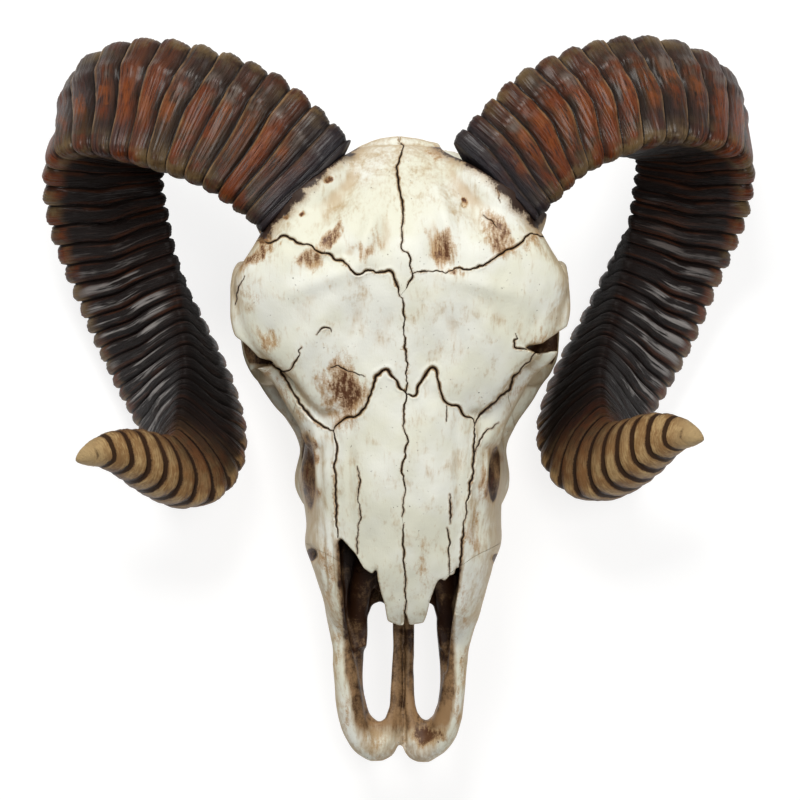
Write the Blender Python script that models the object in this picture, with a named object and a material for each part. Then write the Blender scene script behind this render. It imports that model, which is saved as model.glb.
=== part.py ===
"""Life-size skull of a ram with both horns, without the lower jaw, lying as it rests.

The skull is modelled in its face frame, in millimetres: X to the side, Y from the nose to the
crown, Z out of the forehead, with zero on the midline where the forehead meets the nose bones.
At the end everything is tipped onto its tooth rows and horn curls, and written in metres.
"""
import math
import bpy
import bmesh
import numpy as np
from mathutils import Euler, Matrix, Vector

# ---------------------------------------------------------------- driving dimensions, millimetres
ORBIT_CENTRE = (60.0, 31.0, -38.0)
ORBIT_RADII = (36.0, 20.0, 19.5)
BRAINCASE_CENTRE = (0.0, 62.0, -54.0)
BRAINCASE_RADII = (38.0, 42.0, 42.0)
CONDYLE_CENTRE = (13.0, 97.0, -94.0)
CONDYLE_RADII = (9.0, 11.0, 11.0)
FORAMEN_RADIUS = 9.0
BITE_FRONT_Y = -70.0       # front of the cheek teeth
BITE_FRONT_Z = -99.0       # biting plane there
BITE_SLOPE = -0.16         # biting plane's fall toward the crown
TOOTH_LENGTHS = (8.0, 10.0, 11.0, 14.0, 16.0, 18.0)
PLATE_DEPTH = 9.0          # thickness of the roof bones
SUTURE_GAP = 0.3           # thin cut between two bones
VOXEL = 1.8                # grid of the joined bone before it is simplified
SKULL_TRIANGLES = 1740
FLATNESS_DEG = 1.0         # faces nearer to one plane than this are joined
HORN_RIDGES = 30
HORN_SIDES = 12
HORN_CUTS = (0.43, 0.69)   # where a horn is divided, as shares of its rings
FACING_PASSES = 1500       # evens out the turning of the rings, so that none cross in a bend
CURL_CENTRE = (100.0, 60.0, -55.0)
REST_PITCH_DEG = 5.95      # tips the face frame about X until it rests
REST_ROLL_DEG = 0.59

# Horn stations from the root to the tip: x, y, z, width, turn of the inner keel in degrees
HORN_LEFT = (
    (-38.0, 84.0, -26.0, 51.0, -62.0),
    (-56.0, 101.0, -30.0, 55.0, -63.0),
    (-73.0, 113.0, -36.0, 58.0, -61.0),
    (-110.5, 122.5, -48.0, 60.0, -52.0),
    (-137.0, 119.0, -63.0, 57.0, -42.0),
    (-139.0, 99.0, -79.0, 54.0, -30.0),
    (-128.0, 72.0, -87.5, 55.0, -8.0),
    (-114.0, 36.0, -89.0, 54.0, 6.0),
    (-99.5, 5.0, -82.0, 51.5, 6.0),
    (-93.0, -21.5, -68.5, 44.5, -3.0),
    (-99.5, -37.5, -57.0, 36.0, -12.0),
    (-117.0, -30.5, -45.0, 28.0, -11.0),
    (-134.0, -26.0, -38.0, 14.0, -4.0),
    (-144.5, -28.5, -35.0, 4.0, 6.0),
)
HORN_RIGHT = (
    (36.0, 86.0, -26.0, 51.0, -60.0),
    (52.0, 102.5, -30.0, 53.5, -62.0),
    (66.0, 115.5, -36.0, 54.0, -63.0),
    (104.0, 127.0, -48.0, 56.0, -53.0),
    (136.0, 119.0, -63.0, 55.0, -45.0),
    (135.0, 97.0, -79.0, 53.0, -32.0),
    (121.5, 71.5, -87.5, 54.5, -8.0),
    (106.5, 37.0, -89.5, 53.5, 2.0),
    (90.5, 7.0, -82.5, 52.0, -2.0),
    (83.0, -16.0, -68.5, 46.0, -14.0),
    (90.5, -33.0, -57.0, 38.0, -22.0),
    (110.0, -24.0, -45.0, 28.0, -18.0),
    (125.0, -18.0, -39.0, 15.0, -8.0),
    (134.0, -18.5, -36.0, 4.0, 3.0),
)
# Faces of a horn's rounded three-sided section: direction from the side keel, distance over width
HORN_FACES = ((-90.0, 0.40), (28.0, 0.36), (152.0, 0.36))
FACE_ROUNDING = 6.0

# Sutures of the left side, seen from above, from the midline outward (x as half width, y)
CORONAL = ((0.0, 42.0), (4.0, 51.0), (13.0, 52.0), (22.0, 52.0), (31.0, 57.0), (44.0, 62.5),
           (55.0, 66.0), (100.0, 70.0))
FRONTONASAL = ((0.0, -1.0), (2.0, 3.0), (8.0, 9.5), (13.0, 4.0), (18.0, -8.0), (25.0, -11.0),
               (30.5, -17.5))
FRONTOMAXILLARY = ((30.5, -17.5), (38.0, -11.0), (45.0, -4.0), (53.5, 8.0), (58.0, 13.0),
                   (100.0, 16.0))
NASOMAXILLARY = ((30.5, -17.5), (28.5, -28.0), (30.0, -34.0), (29.0, -46.0), (28.3, -63.0),
                 (21.0, -71.5), (15.0, -78.5))
NASAL_TIP = ((28.3, -63.0), (21.0, -71.5), (15.5, -78.0), (11.0, -82.0), (8.3, -93.0),
             (5.0, -99.5), (0.0, -98.0))


# ---------------------------------------------------------------- mesh helpers
def mesh_object(name, verts, faces):
    mesh = bpy.data.meshes.new(name)
    mesh.from_pydata([tuple(v) for v in verts], [], faces)
    mesh.validate()
    obj = bpy.data.objects.new(name, mesh)
    bpy.context.scene.collection.objects.link(obj)
    return obj


def outward(obj):
    bm = bmesh.new()
    bm.from_mesh(obj.data)
    bmesh.ops.recalc_face_normals(bm, faces=bm.faces)
    if bm.calc_volume(signed=True) < 0:
        bmesh.ops.reverse_faces(bm, faces=bm.faces)
    bm.to_mesh(obj.data)
    bm.free()
    return obj


def loft(name, rings):
    """Skin a row of rings that have the same number of points, with flat ends."""
    count = len(rings[0])
    verts = [p for ring in rings for p in ring]
    faces = []
    for r in range(len(rings) - 1):
        for i in range(count):
            j = (i + 1) % count
            faces.append((r * count + i, r * count + j, (r + 1) * count + j, (r + 1) * count + i))
    faces.append(tuple(range(count))[::-1])
    faces.append(tuple((len(rings) - 1) * count + i for i in range(count)))
    return outward(mesh_object(name, verts, faces))


def ball(name, centre, radii, turn=(0.0, 0.0, 0.0), segments=28):
    bm = bmesh.new()
    bmesh.ops.create_uvsphere(bm, u_segments=segments, v_segments=segments * 2 // 3, radius=1.0)
    move = Matrix.Translation(centre) @ Euler([math.radians(a) for a in turn]).to_matrix().to_4x4()
    move = move @ Matrix.Diagonal((*radii, 1.0))
    bmesh.ops.transform(bm, matrix=move, verts=bm.verts)
    mesh = bpy.data.meshes.new(name)
    bm.to_mesh(mesh)
    bm.free()
    obj = bpy.data.objects.new(name, mesh)
    bpy.context.scene.collection.objects.link(obj)
    return obj


def smooth_path(points, steps, closed=False):
    """Points of a Catmull-Rom curve through rows of numbers."""
    pts = np.array(points, dtype=float)
    n = len(pts)
    spans = n if closed else n - 1
    out = []
    for i in range(spans):
        if closed:
            a, b, c, d = (pts[(i + k) % n] for k in (-1, 0, 1, 2))
        else:
            b, c = pts[i], pts[i + 1]
            a = pts[i - 1] if i > 0 else 2 * b - c
            d = pts[i + 2] if i + 2 < n else 2 * c - b
        for s in range(steps):
            t = s / steps
            out.append(0.5 * (2 * b + (c - a) * t + (2 * a - 5 * b + 4 * c - d) * t * t
                              + (3 * b - a - 3 * c + d) * t ** 3))
    if not closed:
        out.append(pts[-1])
    return np.array(out)


def rod(name, stations, steps=5, sides=12, closed=False):
    """Round bar through stations (x, y, z, radius)."""
    path = smooth_path(stations, steps, closed)
    centres = path[:, :3]
    if closed:
        tangents = np.roll(centres, -1, axis=0) - np.roll(centres, 1, axis=0)
    else:
        tangents = np.gradient(centres, axis=0)
    tangents /= np.linalg.norm(tangents, axis=1)[:, None]
    up = np.array((0.31, 0.23, 0.92))
    rings = []
    for c, t, r in zip(centres, tangents, path[:, 3]):
        side = np.cross(t, up)
        side /= np.linalg.norm(side)
        over = np.cross(side, t)
        up = over
        ring = []
        for k in range(sides):
            a = 2 * math.pi * k / sides
            ring.append(c + r * (math.cos(a) * side + math.sin(a) * over))
        rings.append(ring)
    if not closed:
        return loft(name, rings)
    first, last = np.array(rings[0]), np.array(rings[-1])
    shift = min(range(sides), key=lambda k: np.linalg.norm(np.roll(first, -k, axis=0) - last))
    rings.append(list(np.roll(first, -shift, axis=0)))
    count = sides
    verts = [p for ring in rings[:-1] for p in ring]
    faces = []
    total = len(rings) - 1
    for r in range(total):
        for i in range(count):
            j = (i + 1) % count
            if r + 1 < total:
                faces.append((r * count + i, r * count + j, (r + 1) * count + j,
                              (r + 1) * count + i))
            else:
                faces.append((r * count + i, r * count + j, (j + shift) % count,
                              (i + shift) % count))
    return outward(mesh_object(name, verts, faces))


def shell_section(y, width, z_top, z_mid, z_low, n_top, n_low, low_width, points=40):
    """Ring across the skull: a rounded roof over a rounded, narrower underside."""
    ring = []
    for k in range(points):
        a = 2 * math.pi * k / points
        ca, sa = math.cos(a), math.sin(a)
        if sa >= 0:
            x = width * math.copysign(abs(ca) ** (2 / n_top), ca)
            z = z_mid + (z_top - z_mid) * sa ** (2 / n_top)
        else:
            drop = (-sa) ** (2 / n_low)
            x = (width + (low_width - width) * drop) * math.copysign(abs(ca) ** (2 / n_low), ca)
            z = z_mid - (z_mid - z_low) * drop
        ring.append((x, y, z))
    return ring


def shell(name, stations, steps=4):
    """Loft of shell sections through stations (y, width, z_top, z_mid, z_low, n_top, n_low, low)."""
    rows = smooth_path(stations, steps)
    return loft(name, [shell_section(*row) for row in rows])


def prism(name, outline, z_low, z_high):
    """Upright solid over an outline of (x, y) points."""
    n = len(outline)
    verts = [(x, y, z_low) for x, y in outline] + [(x, y, z_high) for x, y in outline]
    faces = [tuple(range(n))[::-1], tuple(range(n, 2 * n))]
    for i in range(n):
        j = (i + 1) % n
        faces.append((i, j, n + j, n + i))
    return outward(mesh_object(name, verts, faces))


def wall(name, line, z_low, z_high, thickness=SUTURE_GAP, overrun=0.5):
    """Thin upright wall along a line of (x, y) points, run on a little past both ends."""
    pts = [Vector((x, y)) for x, y in line]
    pts[0] = pts[0] + (pts[0] - pts[1]).normalized() * overrun
    pts[-1] = pts[-1] + (pts[-1] - pts[-2]).normalized() * overrun
    left, right = [], []
    for i, p in enumerate(pts):
        before = (p - pts[i - 1]).normalized() if i > 0 else None
        after = (pts[i + 1] - p).normalized() if i + 1 < len(pts) else None
        along = ((before or after) + (after or before)).normalized()
        side = Vector((-along.y, along.x))
        reach = thickness / 2 / max(0.5, side.dot(Vector((-(after or before).y,
                                                          (after or before).x))))
        left.append(p + side * reach)
        right.append(p - side * reach)
    return prism(name, [tuple(p) for p in left] + [tuple(p) for p in reversed(right)], z_low, z_high)


def sheet(name, rows, height, thickness=SUTURE_GAP, columns=6):
    """Thin sheet at height(x, y) over rows of (y, half width)."""
    grid = [[(w * (2 * i / columns - 1), y) for i in range(columns + 1)] for y, w in rows]
    nx, ny = columns + 1, len(rows)
    verts = [(x, y, height(x, y) + dz) for dz in (-thickness / 2, thickness / 2)
             for row in grid for x, y in row]
    faces = []
    base = nx * ny
    for j in range(ny - 1):
        for i in range(nx - 1):
            a = j * nx + i
            faces.append((a, a + nx, a + nx + 1, a + 1))
            faces.append((base + a, base + a + 1, base + a + nx + 1, base + a + nx))
    rim = [i for i in range(nx)] + [j * nx + nx - 1 for j in range(1, ny)]
    rim += [(ny - 1) * nx + i for i in range(nx - 2, -1, -1)]
    rim += [j * nx for j in range(ny - 2, 0, -1)]
    for a, b in zip(rim, rim[1:] + rim[:1]):
        faces.append((a, b, base + b, base + a))
    return outward(mesh_object(name, verts, faces))


def side_prism(name, outline, half_width):
    """Upright plate on the midline over an outline of (y, z) points."""
    n = len(outline)
    verts = [(-half_width, y, z) for y, z in outline] + [(half_width, y, z) for y, z in outline]
    faces = [tuple(range(n))[::-1], tuple(range(n, 2 * n))]
    for i in range(n):
        j = (i + 1) % n
        faces.append((i, j, n + j, n + i))
    return outward(mesh_object(name, verts, faces))


def evaluated(obj):
    """Bake an object's modifiers into its mesh."""
    graph = bpy.context.evaluated_depsgraph_get()
    mesh = bpy.data.meshes.new_from_object(obj.evaluated_get(graph))
    obj.modifiers.clear()
    obj.data = mesh
    return obj


def gathered(name, pieces):
    """One object that holds all the pieces' meshes."""
    bm = bmesh.new()
    for piece in pieces:
        bm.from_mesh(piece.data)
        bpy.data.objects.remove(piece)
    mesh = bpy.data.meshes.new(name)
    bm.to_mesh(mesh)
    bm.free()
    obj = bpy.data.objects.new(name, mesh)
    bpy.context.scene.collection.objects.link(obj)
    return obj


def fused(name, pieces, voxel, smoothing):
    obj = gathered(name, pieces)
    remesh = obj.modifiers.new("fuse", "REMESH")
    remesh.mode = "VOXEL"
    remesh.voxel_size = voxel
    remesh.adaptivity = 0.0
    soften = obj.modifiers.new("soften", "SMOOTH")
    soften.factor = 0.5
    soften.iterations = smoothing
    return evaluated(obj)


def faceted(obj, flatness=0.0):
    """Split every face into flat triangles, after joining faces that lie in one plane."""
    bm = bmesh.new()
    bm.from_mesh(obj.data)
    if flatness > 0.0:
        bmesh.ops.dissolve_limit(bm, angle_limit=math.radians(flatness), verts=bm.verts,
                                 edges=bm.edges)
    bmesh.ops.triangulate(bm, faces=bm.faces, quad_method="BEAUTY", ngon_method="BEAUTY")
    bm.to_mesh(obj.data)
    bm.free()
    return obj


def boolean(obj, cutter, solver="EXACT"):
    faceted(cutter)
    step = obj.modifiers.new("cut", "BOOLEAN")
    step.operation = "DIFFERENCE"
    step.solver = solver
    step.object = cutter
    evaluated(obj)
    bpy.data.objects.remove(cutter)
    return obj


def mirrored(points):
    return [(-p[0], *p[1:]) for p in points]


def both(maker):
    """Make a piece for the left (-1) and the right (+1) side."""
    return [maker(side) for side in (-1.0, 1.0)]


# ---------------------------------------------------------------- skull
def biting_z(y):
    return BITE_FRONT_Z + BITE_SLOPE * (y - BITE_FRONT_Y)


def skull_pieces():
    pieces = []
    # Forehead and crown: a broad, gently domed plate.
    pieces.append(shell("roof", (
        (109.0, 20.0, -27.0, -36.0, -50.0, 2.4, 2.0, 16.0),
        (100.0, 32.0, -15.0, -27.0, -52.0, 2.4, 2.2, 24.0),
        (90.0, 44.0, -5.5, -20.0, -52.0, 2.4, 2.2, 34.0),
        (80.0, 56.0, 1.0, -16.0, -48.0, 2.4, 2.2, 44.0),
        (70.0, 63.0, 5.5, -14.0, -31.0, 2.5, 2.2, 48.0),
        (60.0, 69.0, 8.0, -13.0, -25.0, 2.6, 2.2, 52.0),
        (50.0, 74.0, 8.0, -14.0, -24.0, 2.6, 2.2, 56.0),
        (40.0, 73.0, 7.0, -15.0, -24.0, 2.6, 2.2, 56.0),
        (30.0, 71.5, 5.0, -16.0, -24.0, 2.6, 2.2, 54.0),
        (20.0, 67.0, 3.0, -15.0, -25.0, 2.5, 2.2, 50.0),
        (12.0, 57.0, 1.4, -13.0, -26.0, 2.4, 2.2, 44.0),
        (2.0, 46.0, -0.6, -14.0, -30.0, 2.4, 2.2, 38.0),
        (-8.0, 38.0, -4.0, -16.0, -34.0, 2.4, 2.2, 34.0))))
    # Braincase with the base of the skull.
    pieces.append(ball("braincase", BRAINCASE_CENTRE, BRAINCASE_RADII))
    pieces.append(ball("nape", (0.0, 84.0, -58.0), (34.0, 25.0, 34.0)))
    pieces.append(rod("base", ((0.0, 98.0, -92.0, 10.0), (0.0, 78.0, -95.0, 11.0),
                               (0.0, 50.0, -93.0, 10.0), (0.0, 20.0, -84.0, 9.0)), sides=14))
    pieces.append(rod("nape_ridge", ((-38.0, 84.0, -62.0, 4.0), (-27.0, 101.0, -50.0, 5.0),
                                     (0.0, 108.0, -45.0, 6.0), (27.0, 101.0, -50.0, 5.0),
                                     (38.0, 84.0, -62.0, 4.0))))
    # Bone between the eye sockets and the bulk under the roof.
    pieces.append(shell("core", (
        (60.0, 30.0, 0.0, -45.0, -90.0, 2.2, 2.2, 16.0),
        (40.0, 24.0, 0.0, -45.0, -90.0, 2.2, 2.2, 12.0),
        (20.0, 26.0, 0.0, -45.0, -90.0, 2.2, 2.2, 14.0),
        (8.0, 37.0, 0.0, -46.0, -94.0, 2.3, 4.0, 38.0),
        (-4.0, 44.5, -0.8, -48.0, -94.0, 2.4, 4.5, 40.0),
        (-18.0, 43.5, -1.8, -50.0, -91.0, 2.5, 4.5, 39.0),
        (-30.0, 45.0, -3.0, -54.0, -88.0, 2.5, 4.5, 37.0),
        (-38.0, 46.5, -4.0, -57.0, -86.0, 2.5, 4.5, 36.0),
        (-48.0, 45.0, -5.5, -57.0, -83.0, 2.5, 4.5, 35.0),
        (-58.0, 44.0, -8.0, -54.0, -79.0, 2.5, 4.0, 34.0),
        (-68.0, 43.5, -11.0, -50.0, -75.0, 2.5, 3.4, 31.0),
        (-78.0, 40.0, -14.0, -46.0, -70.0, 2.6, 2.8, 26.0),
        (-88.0, 37.5, -17.5, -44.0, -66.0, 2.6, 2.4, 23.0),
        (-98.0, 36.0, -21.0, -44.0, -63.0, 2.6, 2.4, 22.0))))
    # Horn roots, brow rims and cheek arches.
    pieces += both(lambda s: ball("horn_root", (s * 40.0, 83.0, -27.0), (27.0, 25.0, 24.0),
                                  (0.0, 0.0, -s * 40.0)))
    pieces += both(lambda s: rod("orbit_rim", [(s * x, y, z, r) for x, y, z, r in (
        (57.5, 10.5, -26.0, 4.4), (66.0, 18.0, -17.0, 4.5), (70.5, 31.0, -15.5, 5.0),
        (71.0, 43.0, -19.0, 5.0), (71.0, 52.0, -29.0, 4.6), (71.0, 54.0, -42.0, 4.2),
        (70.5, 47.0, -56.0, 4.4), (69.5, 33.0, -61.5, 4.8), (67.0, 17.0, -59.0, 5.0),
        (62.5, 9.0, -50.0, 5.0), (58.0, 7.5, -38.0, 4.6))], closed=True))
    pieces += both(lambda s: rod("cheek_arch", [(s * x, y, z, r) for x, y, z, r in (
        (69.5, 36.0, -62.0, 5.0), (68.0, 52.0, -64.0, 4.0), (60.0, 66.0, -66.0, 4.4),
        (46.0, 74.0, -68.0, 6.0), (31.0, 77.0, -70.0, 7.0))]))
    pieces += both(lambda s: rod("cheek_bone", [(s * x, y, z, r) for x, y, z, r in (
        (66.5, 16.0, -58.0, 5.5), (54.5, 2.0, -55.0, 7.5), (44.0, -9.0, -56.0, 9.0),
        (38.5, -24.0, -60.0, 8.0), (39.0, -40.0, -62.0, 9.5), (37.0, -50.0, -62.0, 8.0))]))
    pieces += both(lambda s: rod("tear_bone", [(s * x, y, z, r) for x, y, z, r in (
        (55.0, 10.0, -28.0, 6.0), (45.5, 2.0, -27.0, 10.0), (36.0, -8.0, -26.0, 12.0),
        (31.0, -20.0, -26.0, 12.0))]))
    # Ear region, condyles and the spurs beside them.
    pieces += both(lambda s: ball("condyle", (s * CONDYLE_CENTRE[0], *CONDYLE_CENTRE[1:]),
                                  CONDYLE_RADII, (20.0, 0.0, s * 25.0)))
    pieces += both(lambda s: ball("bulla", (s * 23.0, 64.0, -98.0), (8.0, 12.0, 9.0)))
    pieces += both(lambda s: rod("ear_tube", [(s * 30.0, 70.0, -80.0, 7.0),
                                              (s * 43.0, 72.0, -76.0, 5.0)]))
    pieces += both(lambda s: rod("spur", [(s * 27.0, 88.0, -80.0, 9.0), (s * 29.0, 87.0, -98.0, 5.5),
                                          (s * 27.0, 83.0, -112.0, 2.5)]))
    pieces += both(lambda s: rod("wing", [(s * 12.0, 44.0, -86.0, 5.0), (s * 14.0, 28.0, -94.0, 4.0),
                                          (s * 15.0, 14.0, -98.0, 3.5), (s * 17.0, 4.0, -96.0, 4.0)]))
    # Tooth rows and the bone they grow from.
    pieces += both(lambda s: rod("gum_ridge", [(s * 27.0, -74.0, -76.0, 6.0),
                                               (s * 30.0, -50.0, -80.0, 9.0),
                                               (s * 33.0, -20.0, -88.0, 10.5),
                                               (s * 33.0, 6.0, -92.0, 9.5)]))
    pieces += both(tooth_row)
    # Premaxillae: a slim outer blade and an inner bar on each side.
    pieces += both(lambda s: rod("front_blade", [(s * x, y, z, r) for x, y, z, r in (
        (37.0, -64.0, -24.0, 3.2), (34.5, -78.0, -33.0, 3.8), (31.0, -94.0, -41.0, 4.8),
        (25.8, -112.0, -46.0, 5.2), (23.8, -130.0, -49.0, 5.8), (21.6, -146.0, -52.0, 6.2),
        (17.0, -156.0, -54.0, 6.2), (9.5, -162.5, -56.0, 5.0))]))
    pieces += both(lambda s: rod("front_side", [(s * x, y, z, r) for x, y, z, r in (
        (27.0, -86.0, -60.0, 8.0), (25.0, -100.0, -58.0, 7.6), (23.2, -115.0, -57.0, 6.8),
        (22.4, -134.0, -57.0, 6.2), (18.5, -151.0, -58.0, 6.6), (10.5, -161.0, -58.0, 5.0))]))
    pieces += both(lambda s: rod("inner_bar", [(s * 3.4, -84.0, -60.0, 3.6),
                                               (s * 3.2, -112.0, -59.0, 3.0),
                                               (s * 3.4, -138.0, -58.0, 3.4),
                                               (s * 4.8, -149.0, -57.0, 4.6),
                                               (s * 6.6, -157.5, -57.0, 5.6)]))
    return pieces


def tooth_row(side):
    """Six cheek teeth on one side, wider toward the back, set on the biting plane."""
    teeth = []
    y = BITE_FRONT_Y
    for i, length in enumerate(TOOTH_LENGTHS):
        middle = y + length / 2
        width = 8.0 + 1.6 * i
        x = 27.0 + 1.6 * i - 0.16 * i * i
        low = biting_z(middle)
        corner = []
        for dz, grow in ((0.0, 0.86), (4.0, 1.0), (22.0, 1.04)):
            ring = []
            for k in range(16):
                a = 2 * math.pi * k / 16
                ring.append((side * x + grow * width / 2 * math.copysign(abs(math.cos(a)) ** 0.5,
                                                                         math.cos(a)),
                             middle + grow * (length - 0.6) / 2
                             * math.copysign(abs(math.sin(a)) ** 0.5, math.sin(a)),
                             low + dz))
            corner.append(ring)
        teeth.append(loft("tooth", corner))
        y += length
    return gathered("tooth_row", teeth)


def carved(skull):
    """Open the eye sockets, the nose, the palate slots and the spinal opening."""
    for side in (-1.0, 1.0):
        x, y, z = ORBIT_CENTRE
        boolean(skull, ball("socket", (side * x, y, z), ORBIT_RADII, (0.0, 0.0, side * 8.0), 18))
        boolean(skull, ball("temple", (side * 55.0, 64.0, -50.0), (15.0, 9.0, 15.0), (0.0, 0.0, 0.0), 14))
        slot = [(side * x, y) for x, y in ((9.0, -94.5), (14.5, -101.0), (16.3, -114.0),
                                           (16.3, -132.0), (15.0, -142.0), (11.0, -147.5),
                                           (7.0, -145.0), (4.8, -130.0), (4.8, -103.0))]
        boolean(skull, prism("palate_slot", slot, -110.0, -30.0))
        edge = [(side * x, y) for x, y in NASAL_TIP]
        beside = edge[:-1] + [(side * 3.0, -125.0), (side * 20.0, -125.0), (side * 26.0, -100.0),
                              (side * 30.5, -80.0), (side * 33.5, -68.0)]
        boolean(skull, prism("nose_notch", beside, -50.0, 20.0))
    nose = [shell_section(y, w, top, mid, low, 4.0, 2.4, 0.7 * w, 24)
            for y, w, top, mid, low in ((-46.0, 12.0, -20.0, -36.0, -50.0),
                                        (-57.0, 22.0, -13.5, -34.0, -54.0),
                                        (-72.0, 25.5, -16.5, -36.0, -55.0),
                                        (-90.0, 24.0, -22.5, -38.0, -55.0),
                                        (-110.0, 18.5, -20.0, -38.0, -54.0),
                                        (-128.0, 15.5, -20.0, -38.0, -53.0),
                                        (-142.0, 12.0, -22.0, -38.0, -53.0))]
    boolean(skull, loft("nose_hollow", nose))
    boolean(skull, prism("front_of_nose", [(-40.0, -98.5), (40.0, -98.5), (40.0, -120.0),
                                           (-40.0, -120.0)], -34.0, 0.0))
    boolean(skull, ball("spinal_opening", (0.0, 100.0, -80.0), (FORAMEN_RADIUS, 16.0,
                                                                FORAMEN_RADIUS),
                        (0.0, 0.0, 0.0), 14))
    boolean(skull, ball("palate_arch", (0.0, -28.0, -100.0), (17.0, 62.0, 14.0), (-14.0, 0.0, 0.0), 16))
    boolean(skull, ball("throat", (0.0, 18.0, -102.0), (9.0, 20.0, 17.0), (0.0, 0.0, 0.0), 14))
    return skull


def simplified(obj, triangles):
    count = sum(len(p.vertices) - 2 for p in obj.data.polygons)
    step = obj.modifiers.new("simplify", "DECIMATE")
    step.decimate_type = "COLLAPSE"
    step.ratio = min(1.0, triangles / count)
    return evaluated(obj)


# ---------------------------------------------------------------- horns
def horn_radius(angle):
    total = 0.0
    for direction, distance in HORN_FACES:
        total += (max(0.0, math.cos(angle - math.radians(direction))) / distance) ** FACE_ROUNDING
    return total ** (-1.0 / FACE_ROUNDING)


def horn_rings(stations, side, sides, count, swell=0.0):
    """Rings along a horn, with a ridge and a groove in turn."""
    path = smooth_path(stations, 24)
    for _ in range(90):
        path[1:-1] = (path[:-2] + 2 * path[1:-1] + path[2:]) / 4
    centres = path[:, :3]
    length = np.concatenate(([0.0], np.cumsum(np.linalg.norm(np.diff(centres, axis=0), axis=1))))
    total = length[-1]
    angles = [2 * math.pi * k / sides for k in range(sides)]
    flat = [horn_radius(a) for a in angles]
    across = max(r * math.cos(a) for r, a in zip(flat, angles))
    across -= min(r * math.cos(a) for r, a in zip(flat, angles))
    tangents = np.gradient(centres, axis=0)
    tangents /= np.linalg.norm(tangents, axis=1)[:, None]
    for _ in range(FACING_PASSES):
        tangents[1:-1] = (tangents[:-2] + 2 * tangents[1:-1] + tangents[2:]) / 4
    curl = np.array((side * CURL_CENTRE[0], *CURL_CENTRE[1:]))
    rings = []
    for k in range(count + 1):
        u = k / count
        at = total * (1 - (1 - u) ** 1.12)
        centre = np.array([np.interp(at, length, centres[:, i]) for i in range(3)])
        along = np.array([np.interp(at, length, tangents[:, i]) for i in range(3)])
        along /= np.linalg.norm(along)
        width = np.interp(at, length, path[:, 3]) + swell
        turn = math.radians(np.interp(at, length, path[:, 4])) * -side
        inward = curl - centre
        inward -= along * inward.dot(along)
        inward /= np.linalg.norm(inward)
        aside = np.cross(along, inward)
        inward, aside = (inward * math.cos(turn) + aside * math.sin(turn),
                         (aside * math.cos(turn) - inward * math.sin(turn)) * -side)
        depth = 0.0 if swell else 0.035 * (1 if k % 2 else -1) * (1 - u ** 3)
        ring = []
        for a, r in zip(angles, flat):
            r = r / across * width * (1 + depth)
            ring.append(centre + r * (math.cos(a) * aside + math.sin(a) * inward))
        rings.append(ring)
    return rings


def horn_lengths(stations, side):
    """Root, curl and tip of one horn, as three lengths with thin cuts."""
    rings = horn_rings(stations, side, HORN_SIDES, 2 * HORN_RIDGES)
    total = len(rings)
    cuts = (0, *(round(total * share) for share in HORN_CUTS), total - 1)
    lengths = []
    for part, (a, b) in zip(("root", "curl", "tip"), zip(cuts, cuts[1:])):
        piece = [np.array(r) for r in rings[a:b + 1]]
        if b < total - 1:
            middle = piece[-1].mean(axis=0)
            back = piece[-2].mean(axis=0) - middle
            piece[-1] = piece[-1] + back / np.linalg.norm(back) * SUTURE_GAP
        lengths.append(loft("horn_" + ("left_" if side < 0 else "right_") + part, piece))
    return lengths


# ---------------------------------------------------------------- bones
def roof_z(x, y):
    """Height of the thin sheet under the roof bones."""
    middle = np.interp(y, (-100.0, -80.0, -60.0, -40.0, -20.0, 0.0, 20.0, 40.0, 60.0, 80.0),
                       (-21.0, -14.5, -8.5, -4.2, -1.8, 0.2, 3.0, 7.0, 8.0, 1.0)) - PLATE_DEPTH
    edge = np.interp(abs(x), (0.0, 25.0, 48.0, 100.0), (0.0, 0.0, 1.0, 1.0))
    return middle * (1 - edge) + -28.0 * edge


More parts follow.
